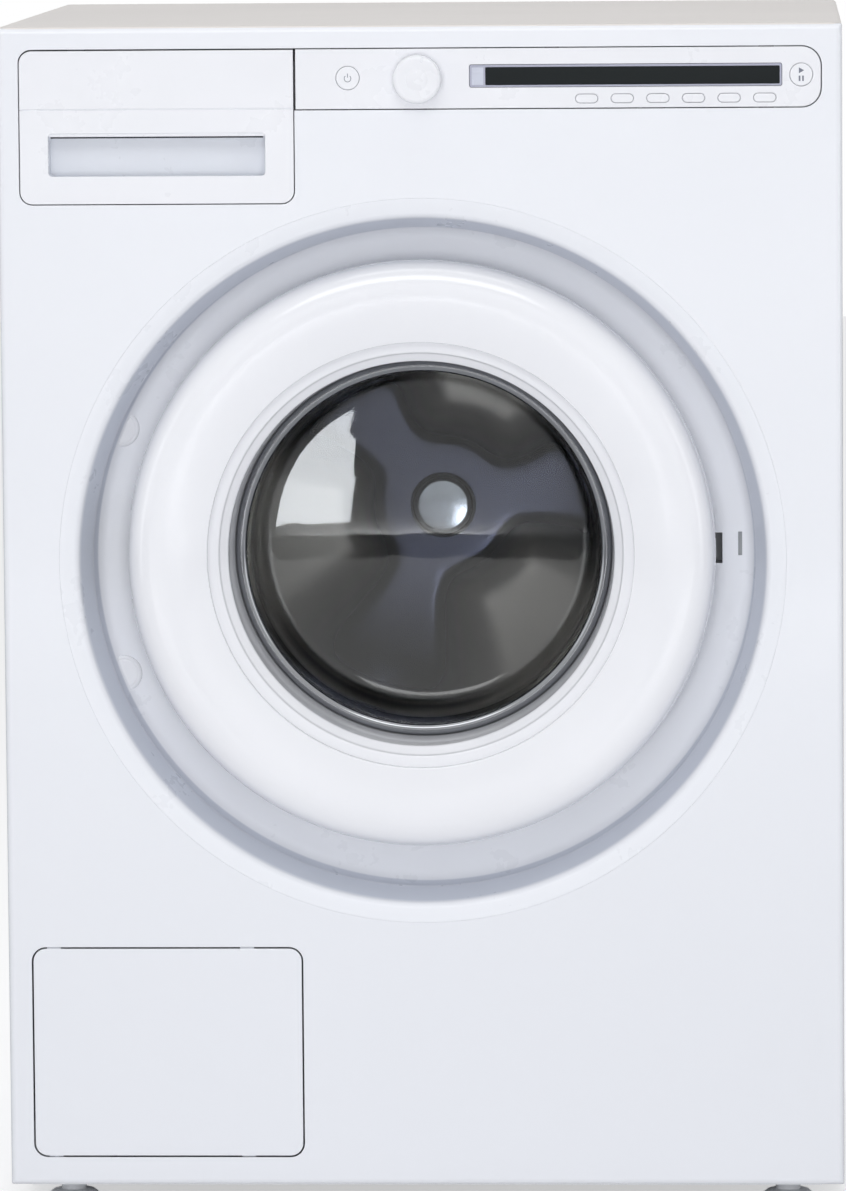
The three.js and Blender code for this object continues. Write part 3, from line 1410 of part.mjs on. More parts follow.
function makeMotorAndBelt() {
  const shell = turned([
    [0, motorNear],
    [motorRadius - motorChamfer, motorNear],
    [motorRadius, motorNear + motorChamfer],
    [motorRadius, motorFar - motorChamfer],
    [motorRadius - motorChamfer, motorFar],
    [0, motorFar],
  ], motorX, motorZ, smallSegments);
  const half = motorMountWidth / 2;
  const boss = block(motorX - half, motorX + half, motorNear + motorChamfer, motorFar - motorChamfer,
    motorZ, motorTop);
  const bore = turned(rod(runningBore(motorShaftRadius, smallSegments),
    motorFar - motorShaftSeat - clearance, motorFar + overrun), motorX, motorZ, smallSegments);
  const fins = [];
  for (let i = 0; i < motorFinCount; i += 1) {
    const y = motorNear + 2 * motorChamfer + ((i + 0.5) / motorFinCount) * (motorLength - 4 * motorChamfer);
    fins.push(turned(tube(motorRadius - motorFinDepth, motorRadius + overrun, y - motorFinWidth / 2,
      y + motorFinWidth / 2), motorX, motorZ, smallSegments));
  }
  piece('motor', cut(join(cut(shell, ...fins), boss), bore), castAlloy);

  const near = pulleyDepth - pulleyWidth / 2;
  const far = pulleyDepth + pulleyWidth / 2;
  const lip = motorPulleyRadius + beltWall + pulleyLip;
  piece('motor_pulley', turned([
    [0, motorFar - motorShaftSeat],
    [motorShaftRadius, motorFar - motorShaftSeat],
    [motorShaftRadius, near],
    [lip, near],
    [motorPulleyRadius, near + pulleyLip],
    [motorPulleyRadius, far - pulleyLip],
    [lip, far],
    [0, far],
  ], motorX, motorZ, smallSegments), steel);

  const loop = (grow) => beltShape(pulleyRadius + 2 * clearance + grow, motorPulleyRadius + clearance + grow);
  const beltHalf = pulleyWidth / 2 - pulleyLip - clearance;
  const outer = frontPlate(loop(beltWall), pulleyDepth - beltHalf, pulleyDepth + beltHalf, beltSteps);
  const inner = frontPlate(loop(0), pulleyDepth - beltHalf - overrun, pulleyDepth + beltHalf + overrun,
    beltSteps);
  piece('drive_belt', cut(outer, inner), rubber);
}

// The outline round two circles: tangent lines joined by the two outer arcs.
function beltShape(large, small) {
  const dx = motorX - doorX;
  const dz = motorZ - doorZ;
  const heading = Math.atan2(dz, dx);
  const lean = Math.acos((large - small) / Math.hypot(dx, dz));
  const path = new THREE.Shape();
  path.absarc(doorX, doorZ, large, heading + lean, heading - lean + 2 * Math.PI);
  path.absarc(motorX, motorZ, small, heading - lean, heading + lean);
  path.closePath();
  return path;
}

// Drum: a rolled shell with three lifters, closed at the rear by a pressed star.
const drumInner = drumRadius - drumWall;
const starRim = drumInner * Math.cos(Math.PI / tubSegments) - clearance;
const starFace = drumRearDepth - starPlateWall;
const starAngle = 2 * Math.PI * starAngleShare;

function smooth(low, high, value) {
  const t = Math.min(Math.max((value - low) / (high - low), 0), 1);
  return t * t * (3 - 2 * t);
}

// How far the pressed star stands forward of its rim at a radius and an angle.
function starRise(radius, angle) {
  const wave = (1 + Math.cos(starArmCount * (angle - starAngle))) / 2;
  const arm = smooth(starArmShares[0], starArmShares[1], wave);
  const fade = 1 - smooth(starFadeShares[0] * starRim, starFadeShares[1] * starRim, radius);
  const hub = 1 - smooth(starHubRadius, starHubRadius * starHubShare, radius);
  return starDepth * (1 - (1 - hub) * (1 - arm * fade));
}

function makeDrum() {
  const line = [
    [drumMouthRadius, drumFrontDepth + drumLipDepth],
    [drumMouthRadius, drumFrontDepth + drumLipRound],
    [drumMouthRadius + drumLipRound, drumFrontDepth],
    [drumRadius - drumCornerRadius, drumFrontDepth + drumLipRound],
    [drumRadius, drumFrontDepth + drumLipRound + drumCornerRadius],
    [drumRadius, drumRearDepth + drumLipRound],
  ];
  const shell = turned(skin(line, -drumWall), doorX, doorZ, tubSegments);
  const first = drumFrontDepth + drumLipRound + lifterInset;
  const last = first + lifterLength;
  const crest = doorZ - drumInner + lifterHeight;
  // A lifter's form, shrunk by a wall on every side but its open foot.
  const form = (foot, wall) => common(
    frontPlate(polygonShape([
      [doorX - lifterBaseWidth / 2 + wall, foot],
      [doorX + lifterBaseWidth / 2 - wall, foot],
      [doorX + lifterTopWidth / 2 - wall, crest - lifterRound - wall],
      [doorX + lifterTopWidth / 2 - lifterRound, crest - wall],
      [doorX - lifterTopWidth / 2 + lifterRound, crest - wall],
      [doorX - lifterTopWidth / 2 + wall, crest - lifterRound - wall],
    ]), first, last),
    sidePlate(polygonShape([
      [first + wall, foot],
      [last - wall, foot],
      [last - wall, crest],
      [first + lifterHeight + wall, crest],
    ]), doorX - lifterBaseWidth, doorX + lifterBaseWidth),
  );
  const inside = turned(rod(drumRadius - drumWall / 2, first, last), doorX, doorZ, tubSegments);
  const lifter = common(form(doorZ - drumRadius, 0), inside);
  const room = form(doorZ - drumRadius - overrun, lifterWall);
  const lifters = [];
  const rooms = [];
  for (let i = 0; i < starArmCount; i += 1) {
    const angle = starAngle + (i / starArmCount) * 2 * Math.PI + Math.PI / 2;
    lifters.push(spun(lifter, doorX, doorZ, angle));
    rooms.push(spun(room, doorX, doorZ, angle));
  }
  piece('drum_shell', cut(join(shell, ...lifters), ...rooms), steel);
  piece('drum_back', starPlate(), steel);

  const hubFace = starFace - starDepth;
  const capNear = hubFace - clearance - hubCapRise;
  piece('hub_cap', turned([
    [0, capNear],
    [hubCapRadius * hubCapShares[0], capNear + hubCapRise * hubCapDropShares[0]],
    [hubCapRadius * hubCapShares[1], capNear + hubCapRise * hubCapDropShares[1]],
    [hubCapRadius, capNear + hubCapRise - clearance],
    [hubCapRadius, hubFace - clearance],
    [0, hubFace - clearance],
  ], doorX, doorZ, roundSegments), steel);

  const spiderNear = drumRearDepth + clearance;
  const spiderFar = spiderNear + spiderArmDepth;
  const shaftEnd = pulleyDepth + pulleyWidth / 2 + shaftTail;
  const core = turned([
    [0, hubFace + starPlateWall + clearance],
    [hubCapRadius, hubFace + starPlateWall + clearance],
    [hubCapRadius, spiderNear],
    [spiderHubRadius, spiderNear],
    [spiderHubRadius, spiderFar],
    [shaftRadius, spiderFar],
    [shaftRadius, shaftEnd],
    [0, shaftEnd],
  ], doorX, doorZ, smallSegments);
  const arms = [];
  for (let i = 0; i < starArmCount; i += 1) {
    const plan = polygonShape([
      [doorX, doorZ - spiderArmWidth / 2],
      [doorX + starRim, doorZ - spiderArmWidth * spiderTipShare / 2],
      [doorX + starRim, doorZ + spiderArmWidth * spiderTipShare / 2],
      [doorX, doorZ + spiderArmWidth / 2],
    ]);
    const angle = starAngle + (i / starArmCount) * 2 * Math.PI;
    arms.push(spun(frontPlate(plan, spiderNear, spiderFar), doorX, doorZ, angle));
  }
  piece('drum_spider', join(core, ...arms), castAlloy);

  const near = pulleyDepth - pulleyWidth / 2;
  const far = pulleyDepth + pulleyWidth / 2;
  const web = pulleyWebWall / 2;
  const wheel = turned([
    [shaftRadius + clearance, near],
    [pulleyHubRadius, near],
    [pulleyHubRadius, pulleyDepth - web],
    [pulleyRadius - pulleyWebWall, pulleyDepth - web],
    [pulleyRadius - pulleyWebWall, near],
    [pulleyRadius, near],
    [pulleyRadius, far],
    [pulleyRadius - pulleyWebWall, far],
    [pulleyRadius - pulleyWebWall, pulleyDepth + web],
    [pulleyHubRadius, pulleyDepth + web],
    [pulleyHubRadius, far],
    [shaftRadius + clearance, far],
  ], doorX, doorZ, tubSegments);
  const holes = [];
  for (let i = 0; i < pulleyHoleCount; i += 1) {
    const radius = (pulleyHubRadius + pulleyRadius) / 2;
    const shape = circleShape(doorX + radius, doorZ, pulleyHoleRadius);
    const angle = (i / pulleyHoleCount) * 2 * Math.PI;
    holes.push(spun(frontPlate(shape, near, far, holeSteps), doorX, doorZ, angle));
  }
  piece('drum_pulley', cut(wheel, ...holes), castAlloy);
}

// The star as a closed skin on a grid of rings and spokes.
function starPlate() {
  const positions = [];
  const corners = [];
  const front = (ring, spoke) => 2 * (1 + (ring - 1) * starSpokes + (spoke % starSpokes));
  const place = (radius, angle) => {
    const depth = starFace - starRise(radius, angle);
    const x = doorX + radius * Math.cos(angle);
    const z = doorZ + radius * Math.sin(angle);
    positions.push(x, depth, z, x, depth + starPlateWall, z);
  };
  place(0, 0);
  for (let ring = 1; ring <= starRings; ring += 1) {
    for (let spoke = 0; spoke < starSpokes; spoke += 1) {
      place((ring / starRings) * starRim, (spoke / starSpokes) * 2 * Math.PI);
    }
  }
  const both = (a, b, c) => corners.push(a, b, c, a + 1, c + 1, b + 1);
  for (let spoke = 0; spoke < starSpokes; spoke += 1) {
    both(0, front(1, spoke), front(1, spoke + 1));
    for (let ring = 1; ring < starRings; ring += 1) {
      both(front(ring, spoke), front(ring + 1, spoke), front(ring + 1, spoke + 1));
      both(front(ring, spoke), front(ring + 1, spoke + 1), front(ring, spoke + 1));
    }
    const a = front(starRings, spoke);
    const b = front(starRings, spoke + 1);
    corners.push(a, a + 1, b + 1, a, b + 1, b);
  }
  const geometry = new THREE.BufferGeometry();
  geometry.setAttribute('position', new THREE.Float32BufferAttribute(positions, 3));
  geometry.setIndex(corners);
  return solidOf(geometry);
}

// Dampers between the tub and the floor tray.
function makeDampers() {
  for (const [name, side] of [['left', -1], ['right', 1]]) {
    const x = doorX + side * damperX;
    const low = trayFloor + clearance;
    const high = low + damperLength;
    piece(`damper_cylinder_${name}`, upright([
      [0, low],
      [damperRadius + damperFlange, low],
      [damperRadius + damperFlange, low + damperFlange],
      [damperRadius, low + 2 * damperFlange],
      [damperRadius, high],
      [damperBore, high],
      [damperBore, low + 2 * damperFlange],
      [0, low + 2 * damperFlange],
    ], x, damperDepth, smallSegments), greyPlastic);
    piece(`damper_rod_${name}`, upright([
      [0, high - rodEngagement],
      [rodRadius, high - rodEngagement],
      [rodRadius, damperTop - clearance - damperFlange],
      [rodEyeRadius, damperTop - clearance - damperFlange],
      [rodEyeRadius, damperTop - clearance],
      [0, damperTop - clearance],
    ], x, damperDepth, smallSegments), steel);
  }
}

// Rubber hose from the tub's outlet down to the pump's inlet.
function makeSumpHose() {
  const low = pumpZ + pumpRadius + portLength + clearance;
  const startPoint = new THREE.Vector3(pumpInletX, pumpInletY, low);
  const endPoint = new THREE.Vector3(doorX + sumpX, sumpDepth, sumpZ - clearance);
  const rise = (endPoint.z - startPoint.z) / 2;
  const route = new THREE.CubicBezierCurve3(
    startPoint,
    startPoint.clone().add(new THREE.Vector3(0, 0, rise)),
    endPoint.clone().sub(new THREE.Vector3(0, 0, rise)),
    endPoint,
  );
  const ring = circleShape(0, 0, sumpHoseRadius);
  ring.holes.push(circleShape(0, 0, sumpHoseRadius - sumpHoseWall));
  piece('sump_hose', solidOf(new THREE.ExtrudeGeometry(ring, {
    steps: hoseSteps, curveSegments: hoseSides / 2, extrudePath: route, bevelEnabled: false })), rubber);
}

// Water inlet valve with its threaded nozzle, and the gland where the mains lead enters.
function makeRearFittings() {
  const half = valveBodyWidth / 2;
  const far = rearInner - clearance;
  const box = block(valveX - half, valveX + half, far - valveBodyLength, far, valveZ - half, valveZ + half);
  const coil = upright(rod(half * coilShare, valveZ - half - coilDrop, valveZ), valveX,
    far - valveBodyLength / 2, smallSegments);
  const nozzle = turned(rod(nozzleRadius, far - sheetWall, cabinetDepth + nozzleLength), valveX, valveZ,
    roundSegments);
  const bore = turned(rod(nozzleBore, cabinetDepth - overrun, cabinetDepth + nozzleLength + overrun),
    valveX, valveZ, smallSegments);
  piece('inlet_valve', cut(join(box, coil, nozzle), bore), whitePlastic);

  piece('mains_gland', cut(turned([
    [0, rearInner - glandLength],
    [glandRadius, rearInner - glandLength],
    [glandRadius, cabinetDepth + clearance],
    [glandFlangeRadius, cabinetDepth + clearance],
    [glandRadius + sheetWall, cabinetDepth + clearance + glandRise],
    [0, cabinetDepth + clearance + glandRise],
  ], glandX, glandZ, roundSegments), turned(rod(glandBore, rearInner - glandLength - overrun,
    cabinetDepth + glandLength + overrun), glandX, glandZ, roundSegments)), blackPlastic);
}

makeFrontPanel();
makeSides();
makeRear();
makeWorktop();
makeBaseTray();
makeFeet();
makeRecessRing();
makeDoor();
makeHinge();
makeLatch();
makeDrawer();
makeHousing();
makeFascia();
makeButtons();
makeKnob();
makeHatch();
makePump();
makeTub();
makeTubFittings();
makeMotorAndBelt();
makeDrum();
makeDampers();
makeSumpHose();
makeRearFittings();

// The origin goes under the middle of the whole machine, between the knob's face and the nozzle's end.
body.position.y = -(cabinetDepth + nozzleLength - knobProud) / 2;

export default machine;
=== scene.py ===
"""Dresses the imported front-loading washing machine with its fine pieces and finishes.

Sizes are in millimetres, counted from the cabinet's own origin: X to the right, depth from
the front panel's face towards the rear, and height from the floor. A rectangle is given by
its left, lower, right and upper side.
"""

import math

import bmesh
import bpy
from mathutils import Matrix, Vector
from mathutils.geometry import tessellate_polygon


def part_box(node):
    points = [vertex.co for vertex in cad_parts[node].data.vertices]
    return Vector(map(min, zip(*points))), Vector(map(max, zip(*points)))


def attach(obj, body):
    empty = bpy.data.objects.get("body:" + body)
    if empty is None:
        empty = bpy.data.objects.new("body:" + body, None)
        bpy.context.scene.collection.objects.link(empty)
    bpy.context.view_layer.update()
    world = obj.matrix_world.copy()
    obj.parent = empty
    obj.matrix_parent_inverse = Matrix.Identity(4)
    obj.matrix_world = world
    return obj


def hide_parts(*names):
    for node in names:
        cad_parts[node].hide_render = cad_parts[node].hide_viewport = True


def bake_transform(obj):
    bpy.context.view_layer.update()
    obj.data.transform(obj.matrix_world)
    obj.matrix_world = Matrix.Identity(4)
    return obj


bl_info = {
    "name": "Front-loading washing machine",
    "version": (1, 0, 0),
    "blender": (4, 5, 0),
    "location": "3D View > Sidebar > Washer",
    "description": "Builds the fine pieces and finishes of a front-loading washing machine",
    "category": "Object",
}

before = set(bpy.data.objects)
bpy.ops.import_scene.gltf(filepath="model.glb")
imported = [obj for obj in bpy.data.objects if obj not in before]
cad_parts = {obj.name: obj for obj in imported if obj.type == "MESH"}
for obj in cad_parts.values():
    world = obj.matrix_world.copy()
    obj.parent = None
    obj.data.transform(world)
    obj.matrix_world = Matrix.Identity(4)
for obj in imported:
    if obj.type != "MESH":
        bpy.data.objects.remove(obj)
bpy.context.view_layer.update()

MM = 0.001
TAU = 2 * math.pi
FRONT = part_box("front_panel")[0].y

CABINET_WIDTH = 595
CABINET_HEIGHT = 850
REAR = 545
HALF = CABINET_WIDTH / 2
FOOT_HEIGHT = 24
LID_THICKNESS = 15.5
RECESS_Z = 470.5
DOOR_X = -1.5
DOOR_Z = 474.5
SMOOTH_ANGLE = 32
FLAT_LIMIT = 0.9995
WELD_METRES = 1e-7
RING_STEPS = 144
LARGE_STEPS = 192
BEND_SHARE = 0.45
LEAST_RADIUS = 0.02


def place(x, depth, z):
    """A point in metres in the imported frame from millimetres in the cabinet's own frame."""
    return Vector((x * MM, FRONT + depth * MM, z * MM))


# Meshes


def new_mesh(name, form):
    """A mesh in metres from a form's points and faces, with its faces turned outwards."""
    verts, faces = form
    mesh = bpy.data.meshes.new(name)
    mesh.from_pydata([place(*v) for v in verts], [], faces)
    bm = bmesh.new()
    bm.from_mesh(mesh)
    bmesh.ops.dissolve_degenerate(bm, edges=bm.edges, dist=WELD_METRES)
    bmesh.ops.recalc_face_normals(bm, faces=bm.faces)
    bm.to_mesh(mesh)
    bm.free()
    return mesh


def new_piece(name, form, body, material, *, replaces=(), angle=SMOOTH_ANGLE, flat=False):
    """Makes one named piece from a form, with its finish, its body and the nodes it replaces.

    Edges up to the angle are smoothed over, and flat leaves the faces that look along an axis flat.
    """
    mesh = new_mesh(name, form)
    piece = bpy.data.objects.new(name, mesh)
    bpy.context.scene.collection.objects.link(piece)
    mesh.materials.append(material)
    mesh.shade_smooth()
    mesh.set_sharp_from_angle(angle=math.radians(angle))
    if flat:
        for face in mesh.polygons:
            face.use_smooth = max(abs(part) for part in face.normal) < FLAT_LIMIT
    if body:
        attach(piece, body)
    if replaces:
        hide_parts(*replaces)
    return piece


def thicken(piece, wall):
    """Gives an open sheet its wall, on the side that its faces look to."""
    sheet = piece.modifiers.new("sheet", "SOLIDIFY")
    sheet.thickness = wall * MM
    sheet.offset = 1


def join_forms(forms):
    """One form from several."""
    verts = []
    faces = []
    for part_verts, part_faces in forms:
        base = len(verts)
        verts.extend(part_verts)
        faces.extend([tuple(i + base for i in face) for face in part_faces])
    return verts, faces


def skin(rings, closed=False):
    """A form over following rings of points, of which any may be a single point."""
    verts = []
    spans = []
    for ring in rings:
        spans.append(range(len(verts), len(verts) + len(ring)))
        verts.extend(ring)
    faces = []
    for a, b in zip(spans, spans[1:] + spans[:1] if closed else spans[1:]):
        count = max(len(a), len(b))
        if count == 1:
            continue
        for i in range(count):
            j = (i + 1) % count
            if len(a) == 1:
                faces.append((a[0], b[i], b[j]))
            elif len(b) == 1:
                faces.append((a[i], a[j], b[0]))
            else:
                faces.append((a[i], a[j], b[j], b[i]))
    return verts, faces


def arc(middle_a, middle_b, radius_a, radius_b, first, last, steps):
    """Points along part of an ellipse, between two angles in radians."""
    angles = [first + (last - first) * i / steps for i in range(steps + 1)]
    return [(middle_a + radius_a * math.cos(a), middle_b + radius_b * math.sin(a)) for a in angles]


def turned(profile, x, z, steps=RING_STEPS, closed=False):
    """A form of (radius, depth) points turned about a front to back axis."""
    turns = [i / steps * TAU for i in range(steps)]
    rings = [[(x + radius * math.cos(a), depth, z + radius * math.sin(a)) for a in turns]
             if radius else [(x, depth, z)] for radius, depth in profile]
    return skin(rings, closed)


def turned_door(profile, steps=160, closed=True):
    """The same about the axis that the door, the seal and the drum share."""
    return turned(profile, DOOR_X, DOOR_Z, steps, closed)


def upright(profile, x, depth, steps=48):
    """A form of (radius, height) points turned about a standing axis."""
    verts, faces = turned(profile, 0, 0, steps)
    return [(x + vx, depth + vz, height) for vx, height, vz in verts], faces


def hose(low, high, radius, wall, sides=32, waves=9, wave_steps=8, groove=1.2):
    """A ribbed hose on a smooth curve that leaves both of its ends upright."""
    low, high = Vector(low), Vector(high)
    rise = Vector((0, 0, (high.z - low.z) / 2))
    turns = [TAU * i / sides for i in range(sides)]
    steps = waves * wave_steps
    outside = []
    inside = []
    for i in range(steps + 1):
        t = i / steps
        u = 1 - t
        centre = low * u ** 3 + (low + rise) * 3 * t * u ** 2 + (high - rise) * 3 * t ** 2 * u + high * t ** 3
        heading = (rise * (u ** 2 + t ** 2) + (high - low - rise * 2) * 2 * t * u).normalized()
        across = Vector((0, 1, 0)).cross(heading).normalized()
        along = heading.cross(across)
        rib = groove * (1 - math.cos(TAU * waves * t)) / 2
        for shell, size in ((outside, radius - rib), (inside, radius - wall)):
            shell.append([tuple(centre + (across * math.cos(a) + along * math.sin(a)) * size) for a in turns])
    return skin(outside + inside[::-1], closed=True)


def softened(points, radius, steps=5):
    """An open line of points with its inner corners rounded off."""
    line = [points[0]]
    for before, corner, after in zip(points, points[1:], points[2:]):
        corner = Vector(corner)
        back = Vector(before) - corner
        on = Vector(after) - corner
        reach = min(radius, BEND_SHARE * back.length, BEND_SHARE * on.length)
        start = corner + back.normalized() * reach
        end = corner + on.normalized() * reach
        for i in range(steps + 1):
            t = i / steps
            line.append(tuple(start * (1 - t) ** 2 + corner * 2 * t * (1 - t) + end * t ** 2))
    line.append(points[-1])
    return line


def shifted(line, wall):
    """The same line moved over by a wall's thickness, to the right of the way it runs."""
    moved = []
    for i, point in enumerate(line):
        before = Vector(line[max(i - 1, 0)])
        after = Vector(line[min(i + 1, len(line) - 1)])
        along = (after - before).normalized()
        moved.append((point[0] + along.y * wall, point[1] - along.x * wall))
    return moved


def shell_line(line, wall):
    """A closed outline of a thin wall that follows an open line."""
    return line + shifted(line, wall)[::-1]


# Outlines, each a function of how far it grows


def cornered(corners, steps=10):
    """An outline from corners, each a place, its inward way, its first angle and its radius."""

    def outline(grow):
        points = []
        for x, z, inward_x, inward_z, turn, radius in corners:
            size = max(radius + grow, LEAST_RADIUS) if radius > 0 else 0
            cx = x - inward_x * grow + inward_x * size
            cz = z - inward_z * grow + inward_z * size
            for i in range(steps + 1 if size else 1):
                angle = math.radians(turn + 90 * i / steps)
                points.append((cx + size * math.cos(angle), cz + size * math.sin(angle)))
        return points

    return outline


def rounded(left, low, right, high, radii=0):
    """A rectangle with one radius, or with four that run on from the lower left."""
    if isinstance(radii, (int, float)):
        radii = (radii,) * 4
    corners = [(left, low, 1, 1, 180), (right, low, -1, 1, 270), (right, high, -1, -1, 0),
               (left, high, 1, -1, 90)]
    return cornered([(*corner, radius) for corner, radius in zip(corners, radii)])


def disc(x, z, radius, steps=72):
    """A circle."""
    turns = [i / steps * TAU for i in range(steps)]

    def outline(grow):
        size = radius + grow
        return [(x + size * math.cos(a), z + size * math.sin(a)) for a in turns]

    return outline


def widened(rect, gap):
    """A rectangle's sides, moved out by a gap."""
    left, low, right, high = rect
    return left - gap, low - gap, right + gap, high + gap


def edge_path(near, far, edge, back_edge=0, steps=4):
    """How an outline shrinks and deepens round a rounded front edge, down a side and to the back."""
    path = []
    for i in range(steps + 1):
        angle = i / steps * math.pi / 2
        path.append((-edge * (1 - math.sin(angle)), near + edge * (1 - math.cos(angle))))
    if back_edge:
        path.append((0, far - back_edge))
    path.append((-back_edge, far))
    return path


def lay_front(a, b, depth):
    """Lays an outline on the front."""
    return a, depth, b


def lay_rear(a, b, depth):
    """Lays an outline on the rear."""
    return a, REAR - depth, b


def lay_top(a, b, depth):
    """Lays an outline on the top."""
    return a, b, CABINET_HEIGHT - depth


def filled(starts, rings):
    """Faces that fill the first ring and leave the others open; starts are the rings' first indices."""
    index = []
    for first, ring in zip(starts, rings):
        index.extend(range(first, first + len(ring)))
    loops = [[Vector((a, b, 0)) for a, b in ring] for ring in rings]
    return [tuple(index[i] for i in tri) for tri in tessellate_polygon(loops)]


def plate(outer, path, holes=(), lay=lay_front):
    """A plate from an outline and its holes, each with its own path from the front to the back."""
    sides = []
    ends = ([], [])
    starts = ([], [])
    base = 0
    for sign, (outline, steps) in [(1, (outer, path))] + [(-1, hole) for hole in holes]:
        rings = [outline(sign * grow) for grow, _ in steps]
        sides.append(skin([[lay(a, b, depth) for a, b in ring] for ring, (_, depth) in zip(rings, steps)]))
        for end, ring, first in ((0, rings[0], base), (1, rings[-1], base + sum(map(len, rings[:-1])))):
            ends[end].append(ring)
            starts[end].append(first)
        base += sum(map(len, rings))
    verts, faces = join_forms(sides)
    for firsts, rings in zip(starts, ends):
        faces.extend(filled(firsts, rings))
    return verts, faces


def cup(outline, near, far, wall):
    """An open box that follows an outline, with its wall's thickness outside."""
    rings = [(outline(grow), depth)
             for grow, depth in ((0, near), (0, far), (wall, far + wall), (wall, near))]
    verts, faces = skin([[lay_front(a, b, depth) for a, b in ring] for ring, depth in rings], closed=True)
    count = len(rings[0][0])
    for i in (1, 2):
        faces += filled([i * count], [rings[i][0]])
    return verts, faces


def bar(x0, x1, y0, y1, z0, z1, edge):
    """A block with softened edges."""
    bm = bmesh.new()
    bmesh.ops.create_cube(bm, size=1)
    size = Matrix.Diagonal((x1 - x0, y1 - y0, z1 - z0, 1))
    middle = Matrix.Translation(((x0 + x1) / 2, (y0 + y1) / 2, (z0 + z1) / 2))
    bmesh.ops.transform(bm, matrix=middle @ size, verts=bm.verts)
    if edge:
        bmesh.ops.bevel(bm, geom=bm.edges, offset=edge, segments=2, affect="EDGES", profile=0.5)
    bm.verts.index_update()
    verts = [tuple(v.co) for v in bm.verts]
    faces = [tuple(v.index for v in f.verts) for f in bm.faces]
    bm.free()
    return verts, faces


def cut_out(piece, forms):
    """Cuts the given forms out of a piece for good."""
    cutter = bpy.data.objects.new("cutter", new_mesh("cutter", join_forms(forms)))
    bpy.context.scene.collection.objects.link(cutter)
    tool = piece.modifiers.new("cut", "BOOLEAN")
    tool.operation = "DIFFERENCE"
    tool.solver = "EXACT"
    tool.use_self = True
    tool.object = cutter
    depsgraph = bpy.context.evaluated_depsgraph_get()
    result = bpy.data.meshes.new_from_object(piece.evaluated_get(depsgraph))
    piece.modifiers.remove(tool)
    piece.data = result
    bpy.data.objects.remove(cutter)
    result.set_sharp_from_angle(angle=math.radians(SMOOTH_ANGLE))


# Finishes


class Nodes:
    """A short way to lay out one material's nodes."""

    def __init__(self, name):
        self.material = bpy.data.materials.new(name)
        self.material.use_nodes = True
        self.tree = self.material.node_tree
        self.shader = self.tree.nodes["Principled BSDF"]
        self.place = self.add("ShaderNodeTexCoord").outputs["Object"]

    def add(self, kind, **values):
        """A new node with its options set."""
        node = self.tree.nodes.new(kind)
        for key, value in values.items():
            setattr(node, key, value)
        return node

    def link(self, source, target):
        """Joins an output to an input."""
        self.tree.links.new(source, target)

    def set(self, **values):
        """Sets the shader's inputs, whose names are given with underscores."""
        for key, value in values.items():
            self.shader.inputs[key.replace("_", " ")].default_value = value

    def combine(self, operation, first, second):
        """The result of a sum on two outputs, or on an output and a number."""
        node = self.add("ShaderNodeMath", operation=operation)
        self.link(first, node.inputs[0])
        if isinstance(second, (int, float)):
            node.inputs[1].default_value = second
        else:
            self.link(second, node.inputs[1])
        return node.outputs["Value"]

    def noise(self, scale, detail=3, stretch=None, roughness=0.5):
        """Noise in the object's own space; scale is features per metre."""
        noise = self.add("ShaderNodeTexNoise")
        noise.inputs["Scale"].default_value = scale
        noise.inputs["Detail"].default_value = detail
        noise.inputs["Roughness"].default_value = roughness
        source = self.place
        if stretch:
            mapping = self.add("ShaderNodeMapping")
            mapping.inputs["Scale"].default_value = stretch
            self.link(source, mapping.inputs["Vector"])
            source = mapping.outputs["Vector"]
        self.link(source, noise.inputs["Vector"])
        return noise.outputs["Fac"]

    def cells(self, scale, output):
        """One output of a pattern of cells; scale is cells per metre."""
        cells = self.add("ShaderNodeTexVoronoi")
        cells.inputs["Scale"].default_value = scale
        self.link(self.place, cells.inputs["Vector"])
        return cells.outputs[output]

    def between(self, fac, low, high, start=0.35, end=0.65):
        """A number that runs from low to high as a pattern runs from start to end."""
        spread = self.add("ShaderNodeMapRange")
        spread.inputs["From Min"].default_value = start
        spread.inputs["From Max"].default_value = end
        spread.inputs["To Min"].default_value = low
        spread.inputs["To Max"].default_value = high
        self.link(fac, spread.inputs["Value"])
        return spread.outputs["Result"]

    def color(self, fac, one, other):
        """Colours the surface with a mix of two colours, by a number from 0 to 1."""
        mix = self.add("ShaderNodeMix", data_type="RGBA")
        mix.inputs["A"].default_value = (*one, 1)
        mix.inputs["B"].default_value = (*other, 1)
        self.link(fac, mix.inputs["Factor"])
        self.link(mix.outputs["Result"], self.shader.inputs["Base Color"])

    def mottle(self, pattern, one, other):
        """Colours the surface with two colours that a pattern mixes."""
        self.color(self.between(pattern, 0, 1), one, other)

    def gloss(self, pattern, low, high, start=0.35, end=0.65):
        """Lets the surface's roughness run from low to high with a pattern."""
        self.link(self.between(pattern, low, high, start, end), self.shader.inputs["Roughness"])

    def bump(self, height, strength, distance):
        """Raises the surface's shading by a pattern; distance is in metres."""
        bump = self.add("ShaderNodeBump")
        bump.inputs["Strength"].default_value = strength
        bump.inputs["Distance"].default_value = distance
        self.link(height, bump.inputs["Height"])
        self.link(bump.outputs["Normal"], self.shader.inputs["Normal"])


def srgb(red, green, blue):
    """A colour given from 0 to 255 as light, the way Blender keeps it."""
    shares = [c / 255 for c in (red, green, blue)]
    return tuple(c / 12.92 if c <= 0.04045 else ((c + 0.055) / 1.055) ** 2.4 for c in shares)


def darker(color, share):
    """A colour with a share of its light."""
    return tuple(c * share for c in color)


